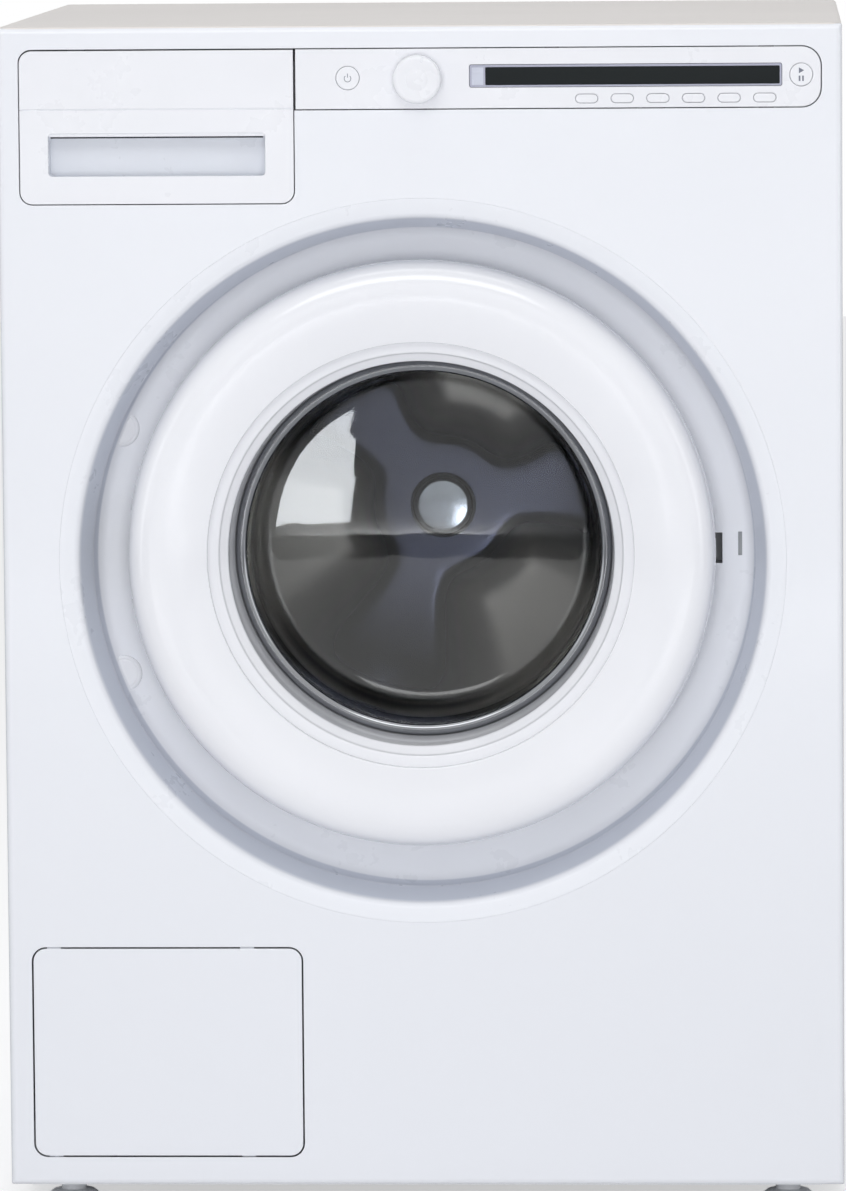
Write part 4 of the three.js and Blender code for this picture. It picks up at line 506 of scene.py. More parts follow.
def enamel(name, color, roughness=0.2, coat=0.4):
    """Sprayed enamel: a faint orange peel under a clear gloss, with soft handling marks."""
    n = Nodes(name)
    n.mottle(n.noise(2.2, 2), color, darker(color, 0.985))
    n.gloss(n.noise(9, 5, roughness=0.7), roughness * 0.85, roughness * 1.35)
    n.bump(n.noise(420, 1), 0.05, 0.0003)
    n.set(Coat_Weight=coat, Coat_Roughness=0.08, Specular_IOR_Level=0.5)
    return n.material


def moulded(name, color, roughness=0.28, coat=0.0, grain=900, depth=0.04):
    """Moulded plastic: a fine skin texture, and gloss that varies a little with handling."""
    n = Nodes(name)
    n.mottle(n.noise(6, 3), color, darker(color, 0.97))
    n.gloss(n.noise(24, 4, roughness=0.65), roughness * 0.85, roughness * 1.25)
    n.bump(n.noise(grain, 2), depth, 0.0002)
    n.set(Coat_Weight=coat, Coat_Roughness=0.06, Specular_IOR_Level=0.5)
    return n.material


def painted_shade_plastic(name, color, band, inner, outer):
    """Moulded plastic of the door's recess, with painted shade: a greyer band on its steep wall.

    The band runs from the inner to the outer radius, and fades out past each.
    """
    n = Nodes(name)
    middle = n.add("ShaderNodeVectorMath", operation="SUBTRACT")
    middle.inputs[1].default_value = (0, 0, RECESS_Z * MM)
    n.link(n.place, middle.inputs[0])
    across = n.add("ShaderNodeVectorMath", operation="MULTIPLY")
    across.inputs[1].default_value = (1, 0, 1)
    n.link(middle.outputs["Vector"], across.inputs[0])
    reach = n.add("ShaderNodeVectorMath", operation="LENGTH")
    n.link(across.outputs["Vector"], reach.inputs[0])
    # Mask of the painted shade band, from the distance to the recess's axis.
    past_inner = n.between(reach.outputs["Value"], 0, 1, (inner - PAINTED_SHADE_FADES[0]) * MM, inner * MM)
    within_outer = n.between(reach.outputs["Value"], 1, 0, outer * MM, (outer + PAINTED_SHADE_FADES[1]) * MM)
    n.color(n.combine("MULTIPLY", past_inner, within_outer), color, band)
    n.gloss(n.noise(24, 4, roughness=0.65), 0.26, 0.38)
    n.bump(n.noise(900, 2), 0.04, 0.0002)
    n.set(Coat_Weight=0.15, Coat_Roughness=0.06, Specular_IOR_Level=0.5)
    return n.material


def rolled_steel(name, color, roughness, stretch, depth=0.12):
    """Drawn or brushed steel: streaks along the way it was worked, with slight heat tints."""
    n = Nodes(name)
    streaks = n.noise(260, 4, stretch=stretch, roughness=0.7)
    n.mottle(n.noise(14, 3), color, darker(color, 0.88))
    n.gloss(streaks, roughness * 0.75, roughness * 1.4)
    n.bump(streaks, depth, 0.0002)
    n.set(Metallic=1.0)
    return n.material


def painted_reflection_steel(name, raised, sunk, polish, satin):
    """Polished sheet with painted reflection: its raised arms are coloured dark and the satin pockets between
    them light.
    """
    n = Nodes(name)
    axes = n.add("ShaderNodeSeparateXYZ")
    n.link(n.place, axes.inputs["Vector"])
    first = FRONT + (STAR_FACE - STAR_RISE + STAR_MARGIN) * MM
    last = FRONT + (STAR_FACE - STAR_MARGIN) * MM
    # Painted reflection: the colour runs from dark on the raised arms to light in the sunk pockets.
    press = n.between(axes.outputs["Y"], 0, 1, first, last)
    n.color(press, raised, sunk)
    n.gloss(press, polish, satin, 0, 1)
    n.bump(n.noise(12, 2), 0.015, 0.002)
    n.set(Metallic=1.0)
    return n.material


def zinc_sheet(name, color):
    """Galvanised sheet: the cell pattern of zinc crystals over a dull metal."""
    n = Nodes(name)
    shade = n.add("ShaderNodeSeparateColor")
    n.link(n.cells(70, "Color"), shade.inputs["Color"])
    n.color(shade.outputs["Red"], color, darker(color, 0.8))
    n.gloss(shade.outputs["Green"], 0.35, 0.55, 0, 1)
    n.bump(n.noise(300, 2), 0.08, 0.0002)
    n.set(Metallic=0.85)
    return n.material


def cast_metal(name, color, metallic=0.9):
    """Die cast alloy: a pitted skin with darker hollows."""
    n = Nodes(name)
    grain = n.noise(340, 5, roughness=0.7)
    n.mottle(grain, darker(color, 0.82), color)
    n.gloss(n.noise(40, 3), 0.4, 0.62)
    n.bump(grain, 0.35, 0.0004)
    n.set(Metallic=metallic)
    return n.material


def block_stone(name, color):
    """Poured concrete: sand grain, pores and pale patches."""
    n = Nodes(name)
    n.mottle(n.noise(18, 4), darker(color, 0.78), color)
    pores = n.between(n.cells(120, "Distance"), 0.4, 1, 0, 0.3)
    n.bump(n.combine("MULTIPLY", n.noise(500, 6, roughness=0.75), pores), 0.6, 0.0012)
    n.set(Roughness=0.92)
    return n.material


def soft_rubber(name, color):
    """Moulded rubber: matt, with a dusty bloom."""
    n = Nodes(name)
    bloom = n.noise(30, 5, roughness=0.7)
    n.mottle(bloom, color, tuple(c * 1.35 + 0.01 for c in color))
    n.gloss(bloom, 0.55, 0.8)
    n.bump(n.noise(800, 2), 0.12, 0.0002)
    n.set(Sheen_Weight=0.15, Sheen_Roughness=0.5)
    return n.material


def laminate(name, color):
    """Laminated board: a fine pebbled face with a low sheen."""
    n = Nodes(name)
    n.mottle(n.noise(5, 4), color, darker(color, 0.97))
    pebble = n.noise(1100, 2)
    n.gloss(pebble, 0.38, 0.5)
    n.bump(pebble, 0.2, 0.0002)
    n.set(Specular_IOR_Level=0.45)
    return n.material


def moulded_glass(name, color):
    """Moulded glass: clear, a little grey in its depth, with faint press ripples."""
    n = Nodes(name)
    n.mottle(n.noise(8, 2), color, darker(color, 0.96))
    n.gloss(n.noise(30, 3), 0.0, 0.04)
    n.bump(n.noise(22, 2), 0.03, 0.0008)
    n.set(Transmission_Weight=1.0, IOR=1.45)
    return n.material


def dark_pane(name, color, roughness=0.08):
    """A dark printed window under clear gloss, with fine dust on it."""
    n = Nodes(name)
    dust = n.between(n.noise(700, 4, roughness=0.8), 0, 1, 0.6, 0.8)
    n.color(dust, color, tuple(c + 0.012 for c in color))
    n.gloss(n.noise(40, 3), roughness, roughness * 1.8)
    n.set(Specular_IOR_Level=0.22)
    return n.material


def glow_strip(name, color):
    """A pale strip of the window that is faintly lit."""
    n = Nodes(name)
    n.mottle(n.noise(60, 2), color, darker(color, 0.9))
    n.gloss(n.noise(50, 2), 0.25, 0.35)
    n.set(Emission_Color=(*color, 1), Emission_Strength=0.12)
    return n.material


def tube_metal(name, color):
    """A heater's sheath, browned by heat."""
    n = Nodes(name)
    scale = n.noise(90, 5, roughness=0.7)
    n.mottle(scale, color, darker(color, 0.45))
    n.gloss(scale, 0.35, 0.6)
    n.bump(scale, 0.2, 0.0003)
    n.set(Metallic=0.9)
    return n.material


class Finishes:
    """All finishes, made once."""

    def __init__(self, look):
        plastic = tuple(look.plastic_color)
        self.panel = enamel("white_enamel", tuple(look.panel_color))
        # The recess's finish carries painted shade: a greyer band on its steep wall.
        self.recess = painted_shade_plastic("recess_plastic_painted_shade", tuple(look.recess_color), tuple(look.wall_painted_shade_color),
                                      *RECESS_PAINTED_SHADE_BAND)
        # Painted shade: the finger recess's cup is coloured greyer than the drawer's plastic.
        self.cup = moulded("grip_plastic_painted_shade", srgb(228, 231, 238), 0.3, coat=0.15)
        self.door = moulded("door_plastic", plastic, 0.16, coat=0.5, depth=0.015)
        self.fascia = moulded("fascia_plastic", plastic, 0.3)
        self.key = moulded("key_plastic", plastic, 0.24, coat=0.1)
        self.mark = moulded("printed_mark_grey", srgb(120, 124, 138), 0.4)
        # The worktop's colour is partly its laminate and partly painted shade and reflection of the top.
        self.lid = laminate("lid_laminate_painted_shade", tuple(look.lid_color_with_painted_shade))
        self.trim = rolled_steel("polished_trim", srgb(150, 152, 156), 0.09, (1, 1, 1), depth=0.01)
        self.drum = rolled_steel("drum_steel", srgb(176, 177, 178), 0.3, (1, 0.12, 1), depth=0.02)
        # Painted reflection on the drum's star: dark arms and light pockets.
        self.star = painted_reflection_steel("star_steel_painted_reflection", srgb(66, 68, 82), srgb(216, 211, 206), 0.26, 0.55)
        self.hub = rolled_steel("hub_steel", srgb(150, 154, 162), 0.16, (1, 1, 1), depth=0.01)
        self.plain_steel = rolled_steel("plain_steel", srgb(188, 190, 193), 0.3, (0.2, 1, 1))
        self.zinc = zinc_sheet("zinc_sheet", srgb(186, 190, 194))
        self.cast = cast_metal("cast_alloy", srgb(170, 172, 174))
        self.stone = block_stone("weight_block", srgb(150, 147, 141))
        self.grey = moulded("grey_plastic", srgb(160, 163, 167), 0.5, grain=500, depth=0.12)
        self.pale = moulded("pale_grey_plastic", srgb(206, 208, 212), 0.4, grain=600, depth=0.08)
        self.black = moulded("black_plastic", srgb(34, 35, 38), 0.45, grain=600, depth=0.15)
        self.rubber = soft_rubber("seal_rubber", srgb(72, 74, 78))
        self.belt = soft_rubber("belt_rubber", srgb(38, 38, 40))
        self.glass = moulded_glass("door_glass", tuple(look.glass_color))
        self.window = dark_pane("dark_window", srgb(20, 26, 28))
        self.frame = moulded("window_frame", srgb(176, 178, 196), 0.3, coat=0.3)
        self.strip = glow_strip("window_strip", srgb(196, 200, 214))
        self.heater = tube_metal("heater_sheath", srgb(168, 110, 70))
        # A dark finish for the bar that paints the shadow under the grip recess's upper edge.
        self.gap = moulded("painted_shadow_dark", srgb(58, 60, 66), 0.7)


def coat_node(material, *names):
    """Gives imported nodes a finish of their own."""
    for name in names:
        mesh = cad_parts[name].data
        mesh.materials.clear()
        mesh.materials.append(material)


# Settings


def colour_setting(name, description, default):
    """A colour that a user can change."""
    return bpy.props.FloatVectorProperty(name=name, description=description, subtype="COLOR", size=3, min=0,
                                         max=1, default=default)


def size_setting(name, description, default, low=0.0, high=10.0):
    """A length in metres that a user can change."""
    return bpy.props.FloatProperty(name=name, description=description, default=default, min=low, max=high,
                                   unit="LENGTH", subtype="DISTANCE")


def number_setting(name, description, default, low=0.0, unit="NONE"):
    """A number that a user can change."""
    return bpy.props.FloatProperty(name=name, description=description, default=default, min=low, unit=unit)


class WasherLook(bpy.types.PropertyGroup):
    """Colours of the machine."""

    panel_color: colour_setting("Enamel", "Colour of the sprayed cabinet panels", srgb(238, 240, 246))
    plastic_color: colour_setting("Plastic", "Colour of the door, fascia, drawer and keys",
                                  srgb(241, 242, 247))
    recess_color: colour_setting("Recess", "Colour of the dished ring round the door", srgb(239, 241, 247))
    # Painted shade: the greyer colour given to the recess's steep wall.
    wall_painted_shade_color: colour_setting("Recess wall", "Colour of the steep band round the recess",
                               srgb(207, 212, 224))
    # The worktop's warm grey is partly its laminate and partly painted shade and reflection of the top.
    lid_color_with_painted_shade: colour_setting("Worktop", "Colour of the laminated worktop", srgb(229, 224, 221))
    glass_color: colour_setting("Glass", "Tint of the door's glass", (0.93, 0.95, 0.95))


class WasherSizes(bpy.types.PropertyGroup):
    """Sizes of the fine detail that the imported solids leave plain."""

    panel_edge: size_setting("Panel edge", "Radius of the front panel's rolled edge", 0.004)
    lid_edge: size_setting("Worktop edge", "Radius of the worktop's upper edge", 0.003)
    rim_radius: size_setting("Door rim", "Radius of the door's rounded rim", 0.017)
    hole_radius: size_setting("Drum hole", "Radius of the holes in the drum's wall", 0.0024)
    hole_pitch: size_setting("Drum hole pitch", "Distance between the holes along the drum", 0.0205)
    crease_width: size_setting("Drawer crease", "Width of the groove across the drawer's front", 0.0008)


class WasherStage(bpy.types.PropertyGroup):
    """Light, floor and camera."""

    floor_color: colour_setting("Floor", "Colour of the floor", (0.86, 0.86, 0.87))
    ambient: number_setting("Ambient", "Strength of the light from all round", 0.36)
    front_power: number_setting("Front lamp", "Power of the soft lamp round the camera", 73, unit="POWER")
    key_power: number_setting("Key lamp", "Power of the large lamp above the front", 22, unit="POWER")
    top_power: number_setting("Top lamp", "Power of the lamp above the lid", 17, unit="POWER")
    window_power: number_setting("Window", "Power of the light that only the glass mirrors", 2.6,
                                 unit="POWER")
    side_power: number_setting("Side lamps", "Power of each lamp at the sides", 4, unit="POWER")
    camera_distance: size_setting("Camera distance", "Distance from the camera to the front panel", 5.5, 1,
                                  20)
    lens: number_setting("Lens", "Focal length of the camera", 236.4, 10, "CAMERA")


finishes = None


class WasherOperator:
    """What all of the machine's operators share: the finishes, made when the first one runs."""

    bl_options = {"REGISTER", "UNDO"}

    def execute(self, context):
        global finishes
        if finishes is None:
            finishes = Finishes(context.scene.washer_look)
        self.build(finishes, context.scene.washer_sizes)
        return {"FINISHED"}


# Cabinet

PANEL_TOP = CABINET_HEIGHT - 0.9
SIDE_TOP = CABINET_HEIGHT - LID_THICKNESS - 0.3
SHEET = 1.2
PANEL_RETURN = 0.6
PANEL_CORNER = 1.5
CUT_EDGE = 0.5
BLOCK_EDGE = 0.3
SMALL_EDGE = 0.2
FINE_EDGE = 0.1
PANEL_GAP = 0.7
FOLD_DEPTH = 16
FOLD_GAP = 0.5

DRAWER = (-281.9, 725, -88.4, 832.9)
DRAWER_RADIUS = 8.7
FASCIA = (-86.8, 791, 282.5, 833.2)
FASCIA_RADIUS = 13.5

HATCH = (-279.7, 45, -88.1, 194.3)
HATCH_RADIUS = 9
HATCH_GAP = 1.1
HATCH_PIN_X = -265
HATCH_PIN_DEPTH = 4.5
HATCH_CLIP_X = -127
LUG_HALF = 5
LUG_HEIGHT = 3.6
LUG_BOTTOMS = (39.8, 196)

LID_FRONT = 1.5
LID_CORNER = 8
LID_BACK_EDGE = 1

FOOT_X = 257.5
FOOT_DEPTHS = {"front": 56, "rear": 505}
FOOT_LINE = [(0, 0), (17, 0), (19.5, 1), (20, 2.5), (19.4, 5), (17.5, 9), (15, 11), (9, 12), (9, 28.5),
             (5, 28.7)]
THREAD_RADII = (4.4, 5)
THREAD_START = 30.9
THREAD_STEP = 1.2
THREAD_TURNS = 17
STEM_TOP = 70

REAR_HOLE_EDGE = 0.25
REAR_HOLES = [(-205, 260, 11), (-205, 640, 11), (205, 260, 11), (205, 640, 11),
              (210, CABINET_HEIGHT - 60, 13.3), (-225, 120, 11.3)]
DOME_RADIUS = 168
DOME_FLOORS = (154, 154.5)
DOME_DEPTH = 5
DOME_BEND = 8


def front_opening():
    """The one opening that the drawer and the fascia share, stepped where they meet."""
    left, low, middle, _ = widened(DRAWER, PANEL_GAP)
    _, step, right, top = widened(FASCIA, PANEL_GAP)
    near = DRAWER_RADIUS + PANEL_GAP
    far = FASCIA_RADIUS + PANEL_GAP
    return cornered([(left, low, 1, 1, 180, near), (middle, low, -1, 1, 270, near),
                     (middle, step, -1, 1, 270, 0), (right, step, -1, 1, 270, far),
                     (right, top, -1, -1, 0, far), (left, top, 1, -1, 90, near)])


def rear_dome():
    """The line of the service dome, pressed into the rear panel behind the drum's pulley."""
    floor = REAR - DOME_DEPTH
    outer, inner = DOME_FLOORS
    outside = [(0, floor), (outer, floor), (DOME_RADIUS, REAR)]
    inside = [(DOME_RADIUS, REAR - SHEET), (inner, floor - SHEET), (0, floor - SHEET)]
    return softened(outside, DOME_BEND, steps=6) + softened(inside, DOME_BEND, steps=6)


class WASHER_OT_cabinet(WasherOperator, bpy.types.Operator):
    """Builds the front panel, worktop, rear panel and four feet, and finishes the side panels and base"""

    bl_idname = "washer.cabinet"
    bl_label = "Cabinet"

    def build(self, look, sizes):
        self.front(look, sizes.panel_edge / MM)
        self.lid(look, sizes.lid_edge / MM)
        self.feet(look)
        coat_node(look.panel, "side_panel_left", "side_panel_right")
        self.rear(look)
        coat_node(look.pale, "base_tray")

    def front(self, look, edge):
        back = edge + PANEL_RETURN
        path = edge_path(0, back, edge, steps=6) + [(-SHEET, back), (-SHEET, edge), (-edge, SHEET)]
        cut = edge_path(0, SHEET, CUT_EDGE)
        recess = disc(0, RECESS_Z, RECESS_RADIUS + RECESS_FIT, LARGE_STEPS)
        hatch = rounded(*widened(HATCH, HATCH_GAP), HATCH_RADIUS + HATCH_GAP)
        holes = [(recess, edge_path(0, SHEET, RECESS_CUT_EDGE)), (front_opening(), cut), (hatch, cut)]
        forms = [plate(rounded(-HALF, FOOT_HEIGHT, HALF, PANEL_TOP, PANEL_CORNER), path, holes)]
        for side in (-1, 1):
            x0, x1 = sorted((side * (HALF - SHEET), side * HALF))
            forms.append(bar(x0, x1, edge + FOLD_GAP, FOLD_DEPTH, FOOT_HEIGHT, SIDE_TOP, BLOCK_EDGE))
        for low in LUG_BOTTOMS:
            forms.append(bar(HATCH_PIN_X - LUG_HALF, HATCH_PIN_X + LUG_HALF, SHEET / 2,
                             HATCH_PIN_DEPTH + LUG_HALF, low, low + LUG_HEIGHT, BLOCK_EDGE))
        new_piece("cabinet_front", join_forms(forms), "cabinet", look.panel,
                  replaces=["front_panel"], flat=True)

    def lid(self, look, edge):
        path = edge_path(0, LID_THICKNESS, edge, LID_BACK_EDGE, steps=6)
        lid = plate(rounded(-HALF, LID_FRONT, HALF, REAR, LID_CORNER), path, lay=lay_top)
        new_piece("cabinet_lid", lid, "cabinet", look.lid, replaces=["worktop"],
                  flat=True)

    def feet(self, look):
        thread = [(THREAD_RADII[i % 2], THREAD_START + i * THREAD_STEP) for i in range(2 * THREAD_TURNS)]
        line = FOOT_LINE + thread + [(0, STEM_TOP)]
        for row, depth in FOOT_DEPTHS.items():
            for side, x in (("left", -FOOT_X), ("right", FOOT_X)):
                new_piece(f"levelling_foot_{row}_{side}", upright(line, x, depth), f"{row}_{side}_foot",
                          look.pale, replaces=[f"foot_{row}_{side}"])

    def rear(self, look):
        cut = edge_path(0, SHEET, REAR_HOLE_EDGE)
        holes = [(disc(x, z, radius, steps=48), cut) for x, z, radius in REAR_HOLES]
        holes.append((disc(DOOR_X, DOOR_Z, DOME_RADIUS, steps=RING_STEPS), [(0, 0), (0, SHEET)]))
        sheet = plate(rounded(-HALF, FOOT_HEIGHT, HALF, SIDE_TOP), cut, holes, lay=lay_rear)
        dome = turned_door(rear_dome(), steps=RING_STEPS, closed=False)
        new_piece("cabinet_rear", join_forms([sheet, dome]), "cabinet", look.zinc,
                  replaces=["rear_panel"], flat=True)


# Door recess; a line that is turned is a list of (radius, depth) points

RECESS_RADIUS = 257.5
RECESS_FIT = 0.03
RECESS_CUT_EDGE = 0.12
RECESS_LIP = [(RECESS_RADIUS, 1.4), (257.48, 0.2), (257.3, 0.03)]
RECESS_WALL = [(255.5, 0.1), (246.5, 2.6), (244.2, 5), (235, 30), (239, 47), (232, 56), (170, 56), (161, 82)]
# Radii between which the recess's plastic carries painted shade, and how far that shade fades out past each.
RECESS_PAINTED_SHADE_BAND = (235, 242.5)
PAINTED_SHADE_FADES = (1, 1.5)
RECESS_BEND = 5
RECESS_THICKNESS = 2
SLOT_DEPTHS = (45, 64)
LATCH_SLOT = (195, 212, *SLOT_DEPTHS, 463.5, 485.5)
SWITCH_SLOT = (223.2, 226, *SLOT_DEPTHS, 469.1, 486.1)
CAP_X = -217
CAP_HEIGHTS = {"upper": 561.5, "lower": 385.5}
CAP_SEAT = 57
CAP_LINE = [(0, 54.0), (9.5, 54.0), (10.2, 54.35), (10.8, 54.0), (11.8, 54.1), (12.7, 54.7), (13, 55.4),
            (13, CAP_SEAT)]
CAP_BEND = 0.5


class WASHER_OT_recess(WasherOperator, bpy.types.Operator):
    """Builds the dished ring round the door, its latch slots and its two screw caps"""

    bl_idname = "washer.recess"
    bl_label = "Door recess"

    def build(self, look, sizes):
        line = shell_line(RECESS_LIP + softened(RECESS_WALL, RECESS_BEND, steps=6), RECESS_THICKNESS)
        ring = turned(line, 0, RECESS_Z, LARGE_STEPS, closed=True)
        ring = new_piece("recess_ring", ring, "cabinet", look.recess,
                         replaces=["door_recess_ring"])
        cut_out(ring, [bar(*LATCH_SLOT, 0), bar(*SWITCH_SLOT, 0)])
        for name, z in CAP_HEIGHTS.items():
            line = softened(CAP_LINE, CAP_BEND, steps=3) + [(0, CAP_SEAT)]
            cap = turned(line, CAP_X, z, steps=64)
            new_piece(f"screw_cap_{name}", cap, "cabinet", look.door)


# Door

HINGE_X = DOOR_X - 199
HINGE_DEPTH = 18
HINGE_REACH = 69.4
HINGE_STRIP = 4.6
HINGE_ROOM = 32
HINGE_ANGLES = (60, 165)
HINGE_PIN_ROOM = 6.1

DOOR_RADIUS = 209
DOOR_FACE = 4
DOOR_WALL = 3
RIM_LIP = [(151.4, 9.8), (151.4, 6), (151.7, 5.2), (152.4, 4.8)]
RIM_SKIRT = [(208.8, 26), (208, 31), (206, 36)]
BACK_STEP = [(133, 77.1), (152, 77.1), (166, 46), (203, 39.5)]
BACK_BEND = 5
BACK_LINE = [(131.4, 77.1), *softened(BACK_STEP, BACK_BEND), (204.5, 39.3)]
FUNNEL_LINE = [(152.9, 10.1), (149.5, 11.2), (143.8, 12.6), (143, 14.6), (137.2, 19), (135, 56), (135, 67),
               (130.7, 67)]
FUNNEL_BEND = 1.2
FUNNEL_WALL = 2.5
TRIM_RADIUS = 130.7
TRIM_HALF = 3.95
TRIM_CREST = 3.4
TRIM_DEPTHS = (61.4, 66.7)
PANE_LINE = [(134.4, 69.8), (127.5, 69.8), (125.5, 108), (116, 125.4), (102, 128), (80, 131.4), (60, 133.8),
             (40, 135.4), (20, 136.5), (0, 136.8)]
PANE_BEND = 15
PANE_WALL = 4
PANE_SMOOTH_ANGLE = 60


def hinge_room():
    """The room behind the rim through which the fixed hinge ears pass as the door opens."""

    def prism(points):
        verts, sides = skin([[(HINGE_X + x, HINGE_DEPTH + y, z) for x, y in points]
                             for z in (DOOR_Z - HINGE_ROOM, DOOR_Z + HINGE_ROOM)])
        count = len(points)
        return verts, sides + [tuple(range(count)), tuple(range(count, 2 * count))]

    first, last = (math.radians(angle) for angle in HINGE_ANGLES)
    forms = [prism([(0, 0)] + arc(0, 0, HINGE_REACH, HINGE_REACH, first, last, 12))]
    for angle in (first, last):
        along = Vector((math.cos(angle), math.sin(angle)))
        across = Vector((-along.y, along.x)) * HINGE_STRIP
        tail = along * -HINGE_STRIP
        tip = along * HINGE_REACH
        forms.append(prism([tuple(tail - across), tuple(tip - across), tuple(tip + across),
                            tuple(tail + across)]))
    forms.append(prism(disc(0, 0, HINGE_PIN_ROOM, steps=16)(0)))
    return forms


class WASHER_OT_door(WasherOperator, bpy.types.Operator):
    """Builds the door: its rim, back shell, funnel, trim ring and glass"""

    bl_idname = "washer.door"
    bl_label = "Door"

    def build(self, look, sizes):
        rim = sizes.rim_radius / MM
        bend = arc(DOOR_RADIUS - rim, DOOR_FACE + rim, rim, rim, -math.pi / 2, 0, 14)
        line = shell_line(RIM_LIP + bend + RIM_SKIRT, -DOOR_WALL)
        ring = new_piece("door_rim", turned_door(line, LARGE_STEPS), "door", look.door,
                         replaces=["door_ring"])
        cut_out(ring, hinge_room())
        rear = new_piece("door_rear_shell", turned_door(shell_line(BACK_LINE, DOOR_WALL)), "door", look.door,
                         replaces=["door_back"])
        cut_out(rear, hinge_room())

        funnel = shell_line(softened(FUNNEL_LINE, FUNNEL_BEND), FUNNEL_WALL)
        new_piece("door_inner_funnel", turned_door(funnel), "door", look.door,
                  replaces=["door_funnel"])
        near, far = TRIM_DEPTHS
        trim = arc(TRIM_RADIUS, near, TRIM_HALF, TRIM_CREST, math.pi, TAU, 12)
        trim += [(TRIM_RADIUS + TRIM_HALF, far), (TRIM_RADIUS - TRIM_HALF, far)]
        new_piece("door_bright_ring", turned_door(trim), "door", look.trim,
                  replaces=["door_trim_ring"])

        pane = softened(PANE_LINE, PANE_BEND, steps=10)
        inner = shifted(pane, PANE_WALL)
        inner[-1] = (0, inner[-1][1])
        new_piece("door_pane", turned_door(pane + inner[::-1]), "door", look.glass,
                  replaces=["door_glass"], angle=PANE_SMOOTH_ANGLE)
        coat_node(look.cast, "door_hinge_arm")
        coat_node(look.plain_steel, "latch_hook", "door_hinge_bracket")


# Seal and drum

SEAL_LINE = [(164.8, 88.7), (156, 88.7), (151.5, 86), (148, 77.4), (139, 77.4)]
SEAL_CORNER = 3
SEAL_WALL = 3

DRUM_RADIUS = 241
DRUM_BAND = (128, 414)
DRUM_REAR = 428
DRUM_SHEET = 1.5
DRUM_LIP = [(147, 116), (147, 110), (151, 106), (232, 110), (DRUM_RADIUS, 119), (DRUM_RADIUS, DRUM_BAND[0])]
DRUM_LIP_BEND = 4
BAND_SHEET = 1.4
HOLE_COLUMNS = 72
HOLE_PATH = ((-1, -1), (0, -1), (1, -1), (1, 0), (1, 1), (0, 1), (-1, 1), (-1, 0))

ARM_TURN = 10
LIFTER_COUNT = 3
LIFTER_SPAN = (124, 374)
LIFTER_SEAT = 1.6
LIFTER_HEIGHT = 44
LIFTER_HALF = 33
LIFTER_SLOPE = 46
LIFTER_END = 7
LIFTER_SHEET = 2
LIFTER_ROWS = 30
LIFTER_COLUMNS = 24
LIFTER_ROUND_POWER = 0.7
LIFTER_ROW_POWER = 1.4
LIFTER_END_SHARE = 0.92
LIFTER_CREST_SHARE = 0.3

STAR_FACE = 422
STAR_RISE = 26
STAR_MARGIN = 2
STAR_RIM = 237
STAR_HUB = 46
STAR_SHEET = 2
ARM_COUNT = 3
ARM_EDGE_SHARES = (0.15, 0.9)
ARM_FADE_SHARE = 0.5
HUB_FADE_SHARE = 1.7
STAR_RINGS = 48
STAR_STEPS = 180

HUB_FACE = [(0, 386.9), (8, 387.0), (15.5, 387.4)]
HUB_EDGE = (18, 393, 5, 5.3)
HUB_FOOT = [(23, 393.6), (24.2, 394), (25, 394.8), (25, 395.7), (0, 395.7)]


def smooth(low, high, value):
    """A share from 0 to 1 that starts and ends gently as a value runs from low to high."""
    t = min(max((value - low) / (high - low), 0), 1)
    return t * t * (3 - 2 * t)


def drum_point(angle, radius, depth):
    """A point in the cabinet's frame from an angle and a radius about the drum's axis."""
    return DOOR_X + radius * math.cos(angle), depth, DOOR_Z + radius * math.sin(angle)


def star_depth(radius, angle):
    """Depth of the pressed star's face: three arms that fade to the rim, and a raised hub."""
    wave = (1 + math.cos(ARM_COUNT * (angle - math.radians(ARM_TURN)))) / 2
    arm = smooth(*ARM_EDGE_SHARES, wave) * (1 - smooth(ARM_FADE_SHARE * STAR_RIM, STAR_RIM, radius))
    hub = 1 - smooth(STAR_HUB, STAR_HUB * HUB_FADE_SHARE, radius)
    return STAR_FACE - STAR_RISE * (1 - (1 - hub) * (1 - arm))


def star_form():
    """The drum's back: two skins that follow the star's face, joined at the rim."""
    layers = []
    for shift in (0, STAR_SHEET):
        rings = [[drum_point(0, 0, star_depth(0, 0) + shift)]]
        for ring in range(1, STAR_RINGS + 1):
            radius = STAR_RIM * ring / STAR_RINGS
            turns = [i / STAR_STEPS * TAU for i in range(STAR_STEPS)]
            rings.append([drum_point(a, radius, star_depth(radius, a) + shift) for a in turns])
        layers.append(skin(rings))
    verts, faces = join_forms(layers)
    count = len(verts) // 2
    last = count - STAR_STEPS
    for i in range(STAR_STEPS):
        a, b = last + i, last + (i + 1) % STAR_STEPS
        faces.append((a, b, count + b, count + a))
    return verts, faces


def holed_band(radius, columns, pitch, hole):
    """The drum's rolled wall as cells, each with a round hole, in staggered rows."""
    verts = []
    faces = []
    near, far = DRUM_BAND
    rows = max(round((far - near) / pitch), 1)
    tall = (far - near) / rows
    wide = TAU / columns
    count = len(HOLE_PATH)
    for row in range(rows):
        for column in range(columns):
            middle = (column + row % 2 / 2) * wide
            depth = near + (row + 0.5) * tall
            start = len(verts)
            for u, v in HOLE_PATH:
                verts.append(drum_point(middle + u * wide / 2, radius, depth + v * tall / 2))
            for u, v in HOLE_PATH:
                size = math.hypot(u, v)
                verts.append(drum_point(middle + u / size * hole / radius, radius, depth + v / size * hole))
            for i in range(count):
                j = (i + 1) % count
                faces.append((start + i, start + j, start + count + j, start + count + i))
    return verts, faces


